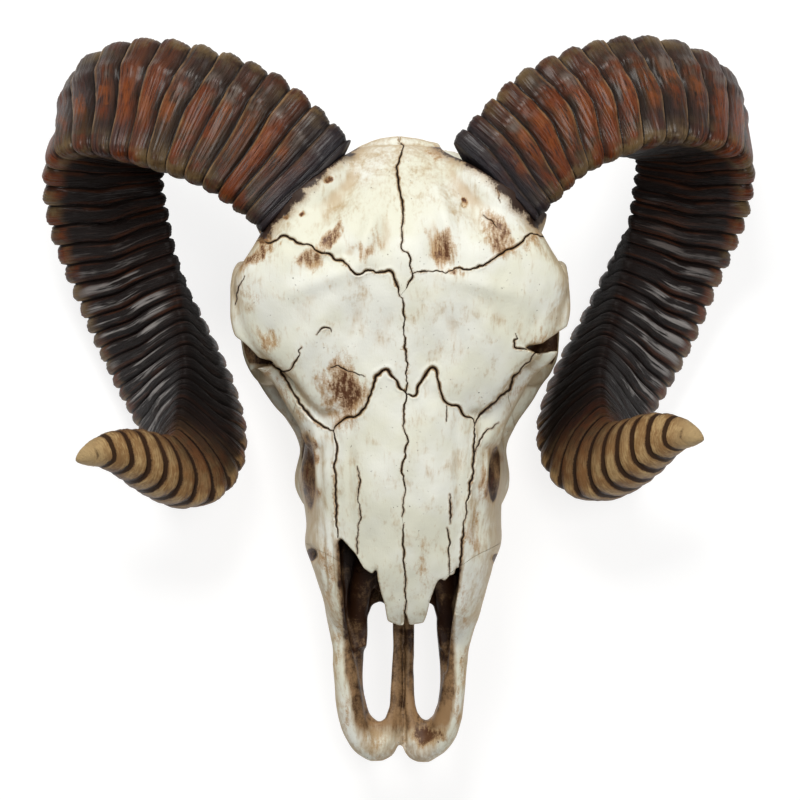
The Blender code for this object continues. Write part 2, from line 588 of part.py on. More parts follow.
def parted(skull):
    """Cut the skull along its sutures and return the loose bones."""
    steps = [side_prism("midline", (
        (125.0, 30.0), (125.0, -50.15), (42.0, -50.15), (42.0, -2.4), (20.0, -6.6), (9.0, -8.5),
        (9.0, -140.0), (-175.0, -140.0), (-175.0, 30.0)), SUTURE_GAP / 2)]
    coronal = mirrored(CORONAL[::-1]) + list(CORONAL[1:])
    steps.append(wall("coronal", coronal, -50.15, 30.0))
    steps.append(prism("crown_floor", coronal + [(100.0, 125.0), (-100.0, 125.0)],
                       -50.0 - SUTURE_GAP, -50.0))
    steps.append(sheet("roof_floor", (
        (71.0, 100.0), (55.0, 100.0), (36.0, 100.0), (16.2, 100.0), (12.7, 58.2), (7.7, 53.5),
        (-4.3, 45.3), (-11.4, 38.2), (-17.9, 31.0), (-28.0, 29.2), (-34.0, 30.6),
        (-46.0, 29.6), (-63.0, 29.0), (-70.0, 23.6), (-78.0, 17.0)), roof_z))
    steps.append(wall("frontonasal", mirrored(FRONTONASAL[::-1]) + list(FRONTONASAL[1:]),
                      -17.0, 30.0))
    for side in (-1.0, 1.0):
        line = [(side * x, y) for x, y in FRONTOMAXILLARY]
        steps.append(wall("frontomaxillary", line, -28.6, 30.0))
        line = [(side * x, y) for x, y in NASOMAXILLARY]
        steps.append(wall("nasomaxillary", line, -23.0, 30.0))
        steps.append(wall("premaxillary_side", ((side * 55.0, -62.0), (side * 32.0, -72.0),
                                                (side * 20.0, -80.0)), -140.0, 0.0))
        steps.append(wall("premaxillary", ((side * 20.6, -79.5), (0.0, -84.0)), -140.0, -24.0))
        steps.append(wall("cheek_front", ((side * 53.0, -24.0), (side * 45.7, -0.3)), -100.0, 5.0))
        steps.append(wall("cheek_back", ((side * 46.6, -6.5), (side * 45.2, 20.0)), -100.0, -21.0))
        steps.append(wall("arch", ((side * 46.0, 61.0), (side * 95.0, 61.0)), -100.0, -52.0))
    steps.append(wall("back_of_palate", ((-46.5, 9.0), (46.5, 9.0)), -140.0, -7.5))
    # The thin cuts cross one another, which the exact solver loses whole bones on.
    for step in steps:
        boolean(skull, step, "MANIFOLD")
    bm = bmesh.new()
    bm.from_mesh(skull.data)
    bm.verts.ensure_lookup_table()
    group = {}
    bodies = []
    for start in bm.verts:
        if start in group:
            continue
        body = []
        stack = [start]
        group[start] = len(bodies)
        while stack:
            v = stack.pop()
            body.append(v)
            for e in v.link_edges:
                w = e.other_vert(v)
                if w not in group:
                    group[w] = len(bodies)
                    stack.append(w)
        bodies.append(body)
    bones = []
    for body in bodies:
        index = {v: i for i, v in enumerate(body)}
        faces = {f for v in body for f in v.link_faces}
        ordered = sorted(faces, key=lambda f: f.index)
        obj = mesh_object("bone", [v.co for v in body], [[index[v] for v in f.verts]
                                                         for f in ordered])
        bones.append(faceted(obj, FLATNESS_DEG))
    bm.free()
    bpy.data.objects.remove(skull)
    return bones


def volume_of(obj):
    bm = bmesh.new()
    bm.from_mesh(obj.data)
    size = abs(bm.calc_volume(signed=True))
    bm.free()
    return size


BONE_PLACES = {
    "parietal": (34.0, 82.0, -20.0),
    "frontal": (34.0, 30.0, -4.0),
    "nasal": (14.0, -45.0, -8.0),
    "zygomatic": (68.0, 20.0, -55.0),
    "maxilla": (30.0, -32.0, -62.0),
    "premaxilla": (22.0, -115.0, -52.0),
}


def centre_of(obj):
    pts = np.array([v.co for v in obj.data.vertices])
    return (pts.min(axis=0) + pts.max(axis=0)) / 2


def named_bones(bones):
    """Give the largest body near each place the bone's name; the braincase is the rest."""
    kept = []
    pool = sorted(bones, key=volume_of, reverse=True)
    wanted = {"braincase": np.array((0.0, 60.0, -80.0))}
    for name, (x, y, z) in BONE_PLACES.items():
        wanted[name + "_left"] = np.array((-x, y, z))
        wanted[name + "_right"] = np.array((x, y, z))
    for obj in pool[:len(wanted)]:
        here = centre_of(obj)
        name = min(wanted, key=lambda n: np.linalg.norm(wanted[n] - here))
        wanted.pop(name)
        obj.name = name
        obj.data.name = name
        kept.append(obj)
    for obj in pool[len(kept):]:
        bpy.data.objects.remove(obj)
    return kept


# ---------------------------------------------------------------- materials and placing
def material(name, colour, roughness, metallic=0.0):
    mat = bpy.data.materials.new(name)
    mat.use_nodes = True
    shader = mat.node_tree.nodes["Principled BSDF"]
    shader.inputs["Base Color"].default_value = (*colour, 1.0)
    shader.inputs["Roughness"].default_value = roughness
    shader.inputs["Metallic"].default_value = metallic
    mat.diffuse_color = (*colour, 1.0)
    return mat


def place(objects):
    """Tip the face frame onto its resting points, in metres, with the floor at zero."""
    turn = Euler((math.radians(REST_PITCH_DEG), math.radians(REST_ROLL_DEG), 0.0)).to_matrix()
    move = Matrix.Scale(0.001, 4) @ turn.to_4x4()
    for obj in objects:
        obj.data.transform(move)
    pts = np.array([v.co for obj in objects for v in obj.data.vertices])
    low, high = pts.min(axis=0), pts.max(axis=0)
    shift = Matrix.Translation((-(low[0] + high[0]) / 2, -(low[1] + high[1]) / 2, -low[2]))
    for obj in objects:
        obj.data.transform(shift)


def main():
    for obj in list(bpy.data.objects):
        bpy.data.objects.remove(obj)
    skull = fused("skull", skull_pieces(), VOXEL, 4)
    simplified(skull, 3 * SKULL_TRIANGLES)
    carved(skull)
    simplified(skull, SKULL_TRIANGLES)
    for stations, side in ((HORN_LEFT, -1.0), (HORN_RIGHT, 1.0)):
        root = horn_rings(stations, side, HORN_SIDES, 2 * HORN_RIDGES, 2.6)
        boolean(skull, loft("horn_seat", root[:14]))
    bones = named_bones(parted(skull))
    horns = horn_lengths(HORN_LEFT, -1.0) + horn_lengths(HORN_RIGHT, 1.0)
    bone_colours = {"braincase": (0.78, 0.72, 0.58), "maxilla": (0.82, 0.77, 0.64),
                    "premaxilla": (0.74, 0.66, 0.50)}
    for obj in bones:
        base = obj.name.split("_")[0]
        obj.data.materials.clear()
        obj.data.materials.append(material(obj.name + "_bone",
                                           bone_colours.get(base, (0.86, 0.82, 0.71)), 0.55))
    horn_colours = {"root": (0.07, 0.04, 0.028), "curl": (0.06, 0.035, 0.025),
                    "tip": (0.30, 0.19, 0.09)}
    for obj in horns:
        part = obj.name.split("_")[2]
        obj.data.materials.append(material(obj.name + "_horn", horn_colours[part], 0.38))
    place(bones + horns)
    for obj in bones + horns:
        obj.data.shade_smooth()
        obj.data.set_sharp_from_angle(angle=math.radians(40.0))
        print(obj.name, len(obj.data.polygons))


main()
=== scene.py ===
# %% [markdown]
# # A ram's skull with curled horns
# The real thing is a dry skull, ivory bone with dark brown sutures, and two ribbed horns that
# curl down beside the face and turn out at the tips. The lower jaw is missing. It lies face up,
# and the camera looks down on it. A skull like this could be scanned or sculpted by hand. Here
# it is built up like a clay model: simple masses are set in place, fused, carved and detailed.

# %% Load the frame
import math

import bpy
import numpy as np
from mathutils import Euler, Matrix, Vector
from mathutils.bvhtree import BVHTree
from mathutils.kdtree import KDTree


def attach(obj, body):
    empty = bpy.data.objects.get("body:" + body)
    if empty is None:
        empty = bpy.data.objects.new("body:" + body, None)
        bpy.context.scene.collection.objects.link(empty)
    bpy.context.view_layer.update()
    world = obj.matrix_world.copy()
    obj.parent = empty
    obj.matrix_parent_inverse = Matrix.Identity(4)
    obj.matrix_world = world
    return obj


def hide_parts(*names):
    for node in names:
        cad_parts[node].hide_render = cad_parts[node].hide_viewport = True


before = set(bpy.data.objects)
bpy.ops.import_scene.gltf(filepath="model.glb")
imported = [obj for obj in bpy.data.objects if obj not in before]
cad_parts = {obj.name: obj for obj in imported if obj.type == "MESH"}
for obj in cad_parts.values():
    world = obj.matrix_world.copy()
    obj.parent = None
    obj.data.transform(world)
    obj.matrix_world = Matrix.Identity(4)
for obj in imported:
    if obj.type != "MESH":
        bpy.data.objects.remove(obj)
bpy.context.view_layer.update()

# %% [markdown]
# ## The bench
# Working on a tilted object is awkward, so the skull is made on a bench in its own face frame:
# millimetres, X to the side, Y from nose to crown, Z out of the forehead, zero on the midline
# where the forehead meets the nose bones. One last move then settles every piece in metres,
# tipped the way the skull rests on its teeth and horn curls.

# %% Bench frame and detail
FACE_TURN = Euler((math.radians(5.95), math.radians(0.59), 0.0)).to_matrix().to_4x4()
FACE_ORIGIN = Matrix.Translation((0.0026, -0.0019, 0.1099))
TO_FLOOR = FACE_ORIGIN @ FACE_TURN @ Matrix.Scale(0.001, 4)
GRAIN_SEED = 11
BONE_GRID = 0.8
HORN_STEP = 0.4
HORN_SIDES = 132


def only(obj):
    """Select one object and nothing else."""
    bpy.ops.object.select_all(action="DESELECT")
    obj.select_set(True)
    bpy.context.view_layer.objects.active = obj


def modified(obj, kind, **settings):
    """Add a modifier with these settings and apply it."""
    only(obj)
    step = obj.modifiers.new(kind.lower(), kind)
    for key, value in settings.items():
        setattr(step, key, value)
    bpy.ops.object.modifier_apply(modifier=step.name)
    return obj


def points_of(obj):
    """Rows of the points' places."""
    flat = np.empty(len(obj.data.vertices) * 3, np.float32)
    obj.data.vertices.foreach_get("co", flat)
    return flat.reshape(-1, 3).astype(float)


def normals_of(obj):
    """Rows of the directions that the points face."""
    flat = np.empty(len(obj.data.vertices) * 3, np.float32)
    obj.data.vertex_normals.foreach_get("vector", flat)
    return flat.reshape(-1, 3).astype(float)


def set_points(obj, points):
    """Move the points to these places."""
    obj.data.vertices.foreach_set("co", np.asarray(points, np.float32).ravel())
    obj.data.update()


def keep_value(obj, name, values):
    """Store one number for each point, for the materials to read."""
    layer = obj.data.attributes.new(name, "FLOAT", "POINT")
    layer.data.foreach_set("value", np.asarray(values, np.float32).ravel())


def keep_vector(obj, name, values):
    """Store three numbers for each point."""
    layer = obj.data.attributes.new(name, "FLOAT_VECTOR", "POINT")
    layer.data.foreach_set("vector", np.asarray(values, np.float32).ravel())


def triangles_in(obj):
    """How many triangles the faces come to."""
    return sum(len(p.vertices) - 2 for p in obj.data.polygons)

# %% [markdown]
# ## Smooth lines and steps
# Many parts follow a line through a few stations, such as a horn or the rim of an eye socket.
# A Catmull-Rom curve passes through every station, so the numbers stay easy to read and move.
# The soft step turns a distance into a mask between 0 and 1.

# %% Curves and masks
RIPPLE_WAVES = 6


def curve_through(stations, steps):
    """Rows of numbers on a smooth curve through the stations."""
    rows = np.array(stations, float)
    before = np.vstack([2 * rows[0] - rows[1], rows[:-2]])
    after = np.vstack([rows[2:], 2 * rows[-1] - rows[-2]])
    out = []
    for a, b, c, d in zip(before, rows[:-1], rows[1:], after):
        t = (np.arange(steps) / steps)[:, None]
        out.append(0.5 * (2 * b + (c - a) * t + (2 * a - 5 * b + 4 * c - d) * t ** 2
                          + (3 * b - a - 3 * c + d) * t ** 3))
    return np.vstack([*out, rows[-1:]])


def soft_step(low, high, x):
    """0 up to low, 1 from high on, and a smooth rise between them."""
    t = np.clip((np.asarray(x, float) - low) / (high - low), 0.0, 1.0)
    return t * t * (3 - 2 * t)


def ripple(seed, *axes):
    """Smooth made-up unevenness between about -1 and 1 over any number of axes."""
    rng = np.random.RandomState(seed)
    total = 0.0
    for _ in range(RIPPLE_WAVES):
        wave = rng.uniform(0, 2 * math.pi)
        for axis in axes:
            wave = wave + rng.uniform(-1.6, 1.6) * axis
        total = total + np.sin(wave)
    return total / (RIPPLE_WAVES / 2)

# %% [markdown]
# ## Rolled tubes and balls
# Almost every mass is either a ball or a bar that swells and bends. A bar starts as a flat grid,
# which is rolled up so that each row of the grid becomes one ring, and then the open ends are
# filled. That keeps full control of each ring, which extruding one ring after another would
# also give, but far more slowly.

# %% Rolled tube, ball and bar
WELD = 0.00005
CURVE_STEPS = 8
BAR_SIDES = 20


def closed_rows(values):
    """Repeat the first column after the last, where the grid's edges meet."""
    return np.concatenate([values, values[:, :1]], axis=1)


def rolled(name, rings, facts=()):
    """Tube over rows of rings; facts are numbers or vectors to keep for each point."""
    rings = np.asarray(rings, float)
    rows, columns = rings.shape[:2]
    bpy.ops.object.select_all(action="DESELECT")
    bpy.ops.mesh.primitive_grid_add(x_subdivisions=columns, y_subdivisions=rows - 1, size=1)
    tube = bpy.context.object
    tube.name = name
    set_points(tube, closed_rows(rings).reshape(-1, 3))
    for word, values in dict(facts).items():
        keep = keep_vector if values.ndim == 3 else keep_value
        keep(tube, word, closed_rows(values))
    bpy.ops.object.mode_set(mode="EDIT")
    bpy.ops.mesh.select_all(action="SELECT")
    bpy.ops.mesh.remove_doubles(threshold=WELD)
    bpy.ops.mesh.fill_holes(sides=0)
    bpy.ops.mesh.select_all(action="SELECT")
    bpy.ops.mesh.normals_make_consistent(inside=False)
    bpy.ops.object.mode_set(mode="OBJECT")
    return tube


def ball(name, centre, radii, turn=(0.0, 0.0, 0.0)):
    """Stretched ball, turned by degrees around X, Y and Z."""
    bpy.ops.object.select_all(action="DESELECT")
    bpy.ops.mesh.primitive_uv_sphere_add(
        segments=40, ring_count=26, radius=1.0, location=centre,
        rotation=[math.radians(a) for a in turn], scale=radii)
    bpy.ops.object.transform_apply(location=True, rotation=True, scale=True)
    bpy.context.object.name = name
    return bpy.context.object


def bar(name, stations):
    """Round bar through stations (x, y, z, radius), its rings kept from twisting."""
    path = curve_through(stations, CURVE_STEPS)
    centres, radii = path[:, :3], path[:, 3]
    along = np.gradient(centres, axis=0)
    along /= np.linalg.norm(along, axis=1)[:, None]
    over = np.array((0.31, 0.23, 0.92))
    angles = np.linspace(0, 2 * math.pi, BAR_SIDES, endpoint=False)
    rings = []
    for centre, direction, radius in zip(centres, along, radii):
        side = np.cross(direction, over)
        side /= np.linalg.norm(side)
        over = np.cross(side, direction)
        rings.append(centre + radius * (np.cos(angles)[:, None] * side
                                        + np.sin(angles)[:, None] * over))
    return rolled(name, rings)

# %% [markdown]
# ## Slabs and cuts
# A slab is an outline raised to a height, and serves as a saw: it takes bone away in plan. A cut
# is a boolean modifier. Its manifold solver is quick on dense meshes, but it needs closed
# meshes, and triangles leave it nothing to guess about.

# %% Slab, join and cut
def slab(name, outline, low, high, lie="FLAT"):
    """Solid over an outline: (x, y) points raised along Z, or (y, z) points along X."""
    count = len(outline)
    bpy.ops.object.select_all(action="DESELECT")
    bpy.ops.mesh.primitive_circle_add(vertices=count, fill_type="NGON")
    plate = bpy.context.object
    plate.name = name
    flat = [(a, b, low) if lie == "FLAT" else (low, a, b) for a, b in outline]
    set_points(plate, flat)
    rise = (0, 0, high - low) if lie == "FLAT" else (high - low, 0, 0)
    bpy.ops.object.mode_set(mode="EDIT")
    bpy.ops.mesh.select_all(action="SELECT")
    bpy.ops.mesh.extrude_region_move(TRANSFORM_OT_translate={"value": rise})
    bpy.ops.mesh.select_all(action="SELECT")
    bpy.ops.mesh.normals_make_consistent(inside=False)
    bpy.ops.object.mode_set(mode="OBJECT")
    return plate


def joined(name, pieces):
    """Join the pieces into the first one, under this name."""
    bpy.ops.object.select_all(action="DESELECT")
    for piece in pieces:
        piece.select_set(True)
    bpy.context.view_layer.objects.active = pieces[0]
    bpy.ops.object.join()
    pieces[0].name = name
    return pieces[0]


def cut(obj, cutter):
    """Take the cutter out of the object and remove the cutter."""
    only(cutter)
    bpy.ops.object.mode_set(mode="EDIT")
    bpy.ops.mesh.select_all(action="SELECT")
    bpy.ops.mesh.quads_convert_to_tris(quad_method="BEAUTY", ngon_method="BEAUTY")
    bpy.ops.object.mode_set(mode="OBJECT")
    modified(obj, "BOOLEAN", operation="DIFFERENCE", object=cutter, solver="MANIFOLD")
    bpy.data.objects.remove(cutter)

# %% [markdown]
# ## The camera
# The photograph looks straight down on the forehead from about 1.8 m with a long lens. On the
# real skull one picture point is then 0.435 mm wide at the forehead, which gives the lens.

# %% Camera
PICTURE_SIDE = 800
POINT_MM = 0.435
SENSOR_MM = 36.0
CAMERA_DISTANCE = 1800.0
LENS_MM = SENSOR_MM * CAMERA_DISTANCE / (PICTURE_SIDE * POINT_MM)
PICTURE_MIDDLE = (-0.0013, -0.0035)
camera = bpy.data.objects.new("camera", bpy.data.cameras.new("camera"))
bpy.context.scene.collection.objects.link(camera)
camera.data.lens = LENS_MM
camera.data.sensor_width = SENSOR_MM
camera.data.clip_end = 20.0
camera.matrix_world = (FACE_ORIGIN @ FACE_TURN
                       @ Matrix.Translation((*PICTURE_MIDDLE, CAMERA_DISTANCE / 1000)))
bpy.context.scene.camera = camera
print("lens", round(LENS_MM, 1), "mm")

# %% [markdown]
# ## Horn line
# A ram's horn grows as a spiral with a rounded three-sided section. Stations give the centre of
# the section, its width and how far its inner keel is turned. The rings' facing is evened out
# so that neighbouring rings don't cross where the horn bends hard.

# %% Horn stations: x, y, z, width, turn of the inner keel
HORN_LEFT = (
    (-38.0, 84.0, -26.0, 54.5, -62.0), (-56.0, 101.4, -30.0, 59.5, -63.0),
    (-73.0, 112.6, -36.0, 62.5, -61.0), (-110.5, 122.8, -48.0, 62.5, -52.0),
    (-137.0, 119.4, -63.0, 57.0, -42.0), (-138.8, 99.0, -79.0, 49.5, -30.0),
    (-127.0, 72.0, -87.5, 53.0, -8.0), (-113.0, 36.0, -89.0, 54.0, 6.0),
    (-100.5, 5.0, -82.0, 51.5, 6.0), (-94.5, -21.5, -68.5, 44.5, -3.0),
    (-99.5, -37.5, -57.0, 36.0, -12.0), (-117.0, -30.5, -45.0, 28.5, -11.0),
    (-133.0, -26.4, -38.0, 15.5, -4.0), (-145.0, -30.4, -34.5, 4.6, 6.0))
HORN_RIGHT = (
    (36.0, 86.0, -26.0, 51.0, -60.0), (52.0, 102.5, -30.0, 53.5, -62.0),
    (66.0, 116.0, -36.0, 55.5, -63.0), (104.0, 127.6, -48.0, 57.5, -53.0),
    (136.2, 119.4, -63.0, 55.0, -45.0), (134.4, 97.0, -79.0, 48.5, -32.0),
    (120.0, 71.5, -87.5, 53.0, -8.0), (106.0, 37.0, -89.5, 53.0, 2.0),
    (91.5, 7.0, -82.5, 52.0, -2.0), (84.2, -16.0, -68.5, 46.0, -14.0),
    (90.5, -33.0, -57.0, 38.0, -22.0), (110.0, -24.0, -45.0, 28.0, -18.0),
    (123.6, -18.6, -39.0, 14.8, -8.0), (133.4, -21.2, -35.0, 4.6, 3.0))
CURL_CENTRE = (100.0, 60.0, -55.0)
HORN_FACES = ((-90.0, 0.40), (28.0, 0.36), (152.0, 0.36))
FACE_ROUNDING = 4.8
CENTRE_PASSES = 90
FACING_PASSES = 1500


def evened(rows, passes):
    """Average each row with the next ones, again and again; the end rows stay."""
    for _ in range(passes):
        rows[1:-1] = (rows[:-2] + 2 * rows[1:-1] + rows[2:]) / 4
    return rows


def horn_line(stations, side):
    """Centres, widths and the two axes of the section, against length."""
    path = evened(curve_through(stations, 24), CENTRE_PASSES)
    centres = path[:, :3]
    length = np.concatenate([[0.0], np.cumsum(np.linalg.norm(np.diff(centres, axis=0), axis=1))])
    along = np.gradient(centres, axis=0)
    along = evened(along / np.linalg.norm(along, axis=1)[:, None], FACING_PASSES)
    along /= np.linalg.norm(along, axis=1)[:, None]
    inward = np.array((side * CURL_CENTRE[0], *CURL_CENTRE[1:])) - centres
    inward -= along * (inward * along).sum(axis=1)[:, None]
    inward /= np.linalg.norm(inward, axis=1)[:, None]
    aside = np.cross(along, inward)
    turn = (np.radians(path[:, 4]) * -side)[:, None]
    keel = inward * np.cos(turn) + aside * np.sin(turn)
    flank = (aside * np.cos(turn) - inward * np.sin(turn)) * -side
    return {"length": length, "centre": centres, "width": path[:, 3], "keel": keel,
            "flank": flank}


def line_at(line, at):
    """Centre, flank, keel and width of the horn line at these lengths."""
    length = line["length"]
    vectors = [np.stack([np.interp(at, length, line[word][:, i]) for i in range(3)], axis=1)
               for word in ("centre", "flank", "keel")]
    return *vectors, np.interp(at, length, line["width"])


def section_radius(angles):
    """Radius at each angle of the rounded three-sided section of a horn 1 wide."""
    total = 0.0
    for direction, distance in HORN_FACES:
        facing = np.maximum(0.0, np.cos(angles - math.radians(direction)))
        total = total + (facing / distance) ** FACE_ROUNDING
    radius = total ** (-1.0 / FACE_ROUNDING)
    across = radius * np.cos(angles)
    return radius / (across.max() - across.min())


def ring_points(centre, radius, angles, flank, keel):
    """Points of rings; the flank lies at angle 0 and the keel a quarter turn on."""
    return centre[:, None, :] + radius[..., None] * (
        np.cos(angles)[None, :, None] * flank[:, None, :]
        + np.sin(angles)[None, :, None] * keel[:, None, :])

# %% [markdown]
# ## Horn ridges
# Each year's growth leaves rounded bands with a raised lip and a narrow dark groove after it.
# The bands are about 10 mm wide at the skull and 5 to 6 mm near the tip, and no two are alike.
# A texture alone would leave the outline smooth, so the ridges are real relief: every ring is
# pushed out or in by the band's profile, with waves that bend the bands around the horn.

# %% Ridges: length along the horn, then spacing or height there
RIDGE_SPACING = ((0.0, 7.5), (30.0, 9.4), (70.0, 10.4), (130.0, 10.0), (180.0, 8.2),
                 (240.0, 7.2), (340.0, 6.8), (430.0, 6.2))
RIDGE_HEIGHT = ((0.0, 1.1), (30.0, 1.9), (150.0, 2.1), (220.0, 1.6), (290.0, 1.3),
                (320.0, 0.95), (338.0, 0.5), (352.0, 0.15))
RIDGE_DRAWS = 200
COUNT_STEP = 0.5
KNUCKLE = math.radians(240.0)


def ridge_count(length):
    """How many ridges lie between the root and each length."""
    fine = np.arange(0.0, RIDGE_SPACING[-1][0], COUNT_STEP)
    spacing = np.interp(fine, *np.array(RIDGE_SPACING).T)
    return np.interp(length, fine, np.cumsum(COUNT_STEP / spacing))


def ridge_sway(s, a, facing, seed):
    """How far the ridges wander along the horn; near the tip they arch over the front."""
    sway = (3.0 * ripple(seed, s / 34.0, 1.2 * np.cos(a), 1.2 * np.sin(a))
            + 0.75 * ripple(seed + 1, s / 13.0, 2.1 * np.cos(a), 2.1 * np.sin(a))
            + 0.8 * np.cos(3 * (a - math.pi / 2)) * soft_step(0.0, 60.0, s))
    sway = sway * np.interp(s, (0.0, 40.0, 300.0, 400.0), (1.3, 1.15, 0.8, 0.35))
    return sway + 5.0 * facing * soft_step(262.0, 318.0, s)

# %% Relief of the ridges
def horn_relief(length, angles, facing, seed):
    """Height of the ridges and masks of grooves, lips and low parts, by ring and angle."""
    s = length[:, None]
    a = angles[None, :]
    sway = ridge_sway(s, a, facing, seed)
    count = ridge_count(s + sway)
    phase = count - np.floor(count)
    ridge = np.floor(count).astype(int)
    rng = np.random.RandomState(seed + 2)
    strong = rng.uniform(0.8, 1.15, RIDGE_DRAWS)[ridge]
    lean = rng.uniform(0.66, 0.84, RIDGE_DRAWS)[ridge]
    edge = np.minimum(phase, 1 - phase)
    slats = soft_step(-0.6, -0.2, np.sin(a)) * soft_step(90.0, 150.0, s)
    body = np.sin(math.pi * phase ** (lean + 0.7 * (1 - slats))) ** 0.75
    groove_width = 0.06 + 0.025 * slats + 0.045 * soft_step(275.0, 335.0, s)
    groove = np.exp(-(edge / groove_width) ** 2)
    lip = np.exp(-((phase - 0.88) / 0.05) ** 2)
    height = np.interp(s, *np.array(RIDGE_HEIGHT).T) * strong * (1.25 + 0.2 * slats)
    relief = height * (body * 0.95 - 0.45 * groove + 0.12 * lip - 0.62)
    strands = ripple(seed + 3, s * 2.6, 2.0 * np.cos(a), 2.0 * np.sin(a))
    strands = strands + ripple(seed + 4, s * 4.4, 3.0 * np.cos(a), 3.0 * np.sin(a))
    relief = relief + 0.17 * strands * (1 - groove) * np.interp(s, (0, 420), (1, 0.7))
    relief = relief + 0.5 * ripple(seed + 5, s / 18.0, 1.8 * np.cos(a), 1.8 * np.sin(a))
    knuckle = np.exp(-((a - KNUCKLE - 0.04 * ripple(seed + 6, s / 9.0)) / 0.13) ** 2)
    behind = soft_step(KNUCKLE, KNUCKLE - 0.45, a) * soft_step(2.8, 3.3, a)
    bend = np.interp(s, (0.0, 30.0, 180.0, 240.0), (0.3, 1.0, 1.0, 0.0))
    relief = relief + bend * (1.1 * knuckle - 1.3 * behind)
    return relief, groove, lip, 1 - body, ridge, sway

# %% [markdown]
# ## Horn lengths
# A horn is made in the same three lengths as the solid model, each a rolled grid with thousands
# of fine rings. Every point keeps what the paint needs: how far along the horn it is, whether
# it lies in a groove or on a lip, which face it is on, and a grain vector that runs with the
# ridges, so that the fine strands follow them.

# %% Rings of a horn
BLUNT_END = 5.0
GRAIN_RADIUS = 18


def horn_rings(line, at, angles, seed):
    """Points of the rings at these lengths, and the facts that the paint reads."""
    total = line["length"][-1]
    centre, flank, keel, width = line_at(line, at)
    to_end = np.clip((total - at + 0.05) / BLUNT_END, 0.0, 1.0)
    width = (width * np.sqrt(1 - (1 - to_end) ** 2))[:, None]
    around = np.broadcast_to(angles, (len(at), len(angles)))
    wrap, inner = np.cos(around), np.sin(around)
    facing = flank[:, 2:] * wrap + keel[:, 2:] * inner
    relief, groove, lip, low, ridge, sway = horn_relief(at, angles, facing, seed)
    rounded = soft_step(262.0, 322.0, at)[:, None]
    radius = (section_radius(angles) * (1 - rounded) + 0.5 * rounded) * width
    radius = radius + relief * np.minimum(1.0, width / 22.0)
    facts = {"run": np.broadcast_to(at[:, None] / total, relief.shape), "low": low,
             "groove": groove, "lip": lip, "inner": inner, "wrap": wrap,
             "tone": np.random.RandomState(seed + 7).uniform(0, 1, RIDGE_DRAWS)[ridge],
             "grain": np.stack([at[:, None] + sway, GRAIN_RADIUS * wrap,
                                GRAIN_RADIUS * inner], axis=-1)}
    return ring_points(centre, radius, angles, flank, keel), facts

# %% Horns in three lengths
HORN_CUTS = (0.43, 0.69)
ROOT_STRETCH = 1.12
ROOT_START = 5.0


def horn_lengths(stations, side, seed):
    """The horn's root, curl and tip, each a closed piece."""
    line = horn_line(stations, side)
    total = line["length"][-1]
    angles = np.linspace(0, 2 * math.pi, HORN_SIDES, endpoint=False)
    shares = 1 - (1 - np.array((0.0, *HORN_CUTS, 1.0))) ** ROOT_STRETCH
    shares[0] = ROOT_START / total
    word = "left" if side < 0 else "right"
    pieces = []
    for name, start, end in zip(("root", "curl", "tip"), shares[:-1], shares[1:]):
        at = np.linspace(start * total, end * total, int((end - start) * total / HORN_STEP))
        piece = rolled(f"horn_{word}_{name}_sheath", *horn_rings(line, at, angles, seed))
        keep_value(piece, "up", normals_of(piece)[:, 2])
        only(piece)
        bpy.ops.object.shade_smooth()
        pieces.append(piece)
        print(piece.name, triangles_in(piece), "triangles")
    return pieces


horns = {"left": horn_lengths(HORN_LEFT, -1.0, GRAIN_SEED),
         "right": horn_lengths(HORN_RIGHT, 1.0, GRAIN_SEED + 40)}

# %% [markdown]
# ## Skull masses
# A skull is a thin-walled box with struts: a domed roof over a round braincase, rings of bone
# round the eyes, arches under them, a long upper jaw with its teeth, and two slim bones that
# reach forward beside the nose opening. Each of these is set down as one mass, in overlap with
# its neighbours, the way a sculptor sticks clay together before smoothing it.

# %% Shell over the midline
SHELL_COLUMNS = 72


def shell(name, stations):
    """Rounded roof over a narrower underside, through stations
    (y, half width, top, middle, bottom, roof roundness, underside roundness, half width below)."""
    y, width, top, mid, low, n_top, n_low, low_width = \
        curve_through(stations, CURVE_STEPS).T[..., None]
    angles = np.linspace(0, 2 * math.pi, SHELL_COLUMNS, endpoint=False)[None, :]
    across, rise = np.cos(angles), np.sin(angles)
    drop = np.abs(rise) ** (2 / n_low)
    x = np.where(rise >= 0, width * np.abs(across) ** (2 / n_top),
                 (width + (low_width - width) * drop) * np.abs(across) ** (2 / n_low))
    z = np.where(rise >= 0, mid + (top - mid) * np.abs(rise) ** (2 / n_top),
                 mid - (mid - low) * drop)
    return rolled(name, np.stack([np.sign(across) * x, y + 0 * x, z], axis=-1))


def sided(side, stations):
    """The stations of the right side, or mirrored to the left by a side of -1."""
    return [(side * x, *rest) for x, *rest in stations]

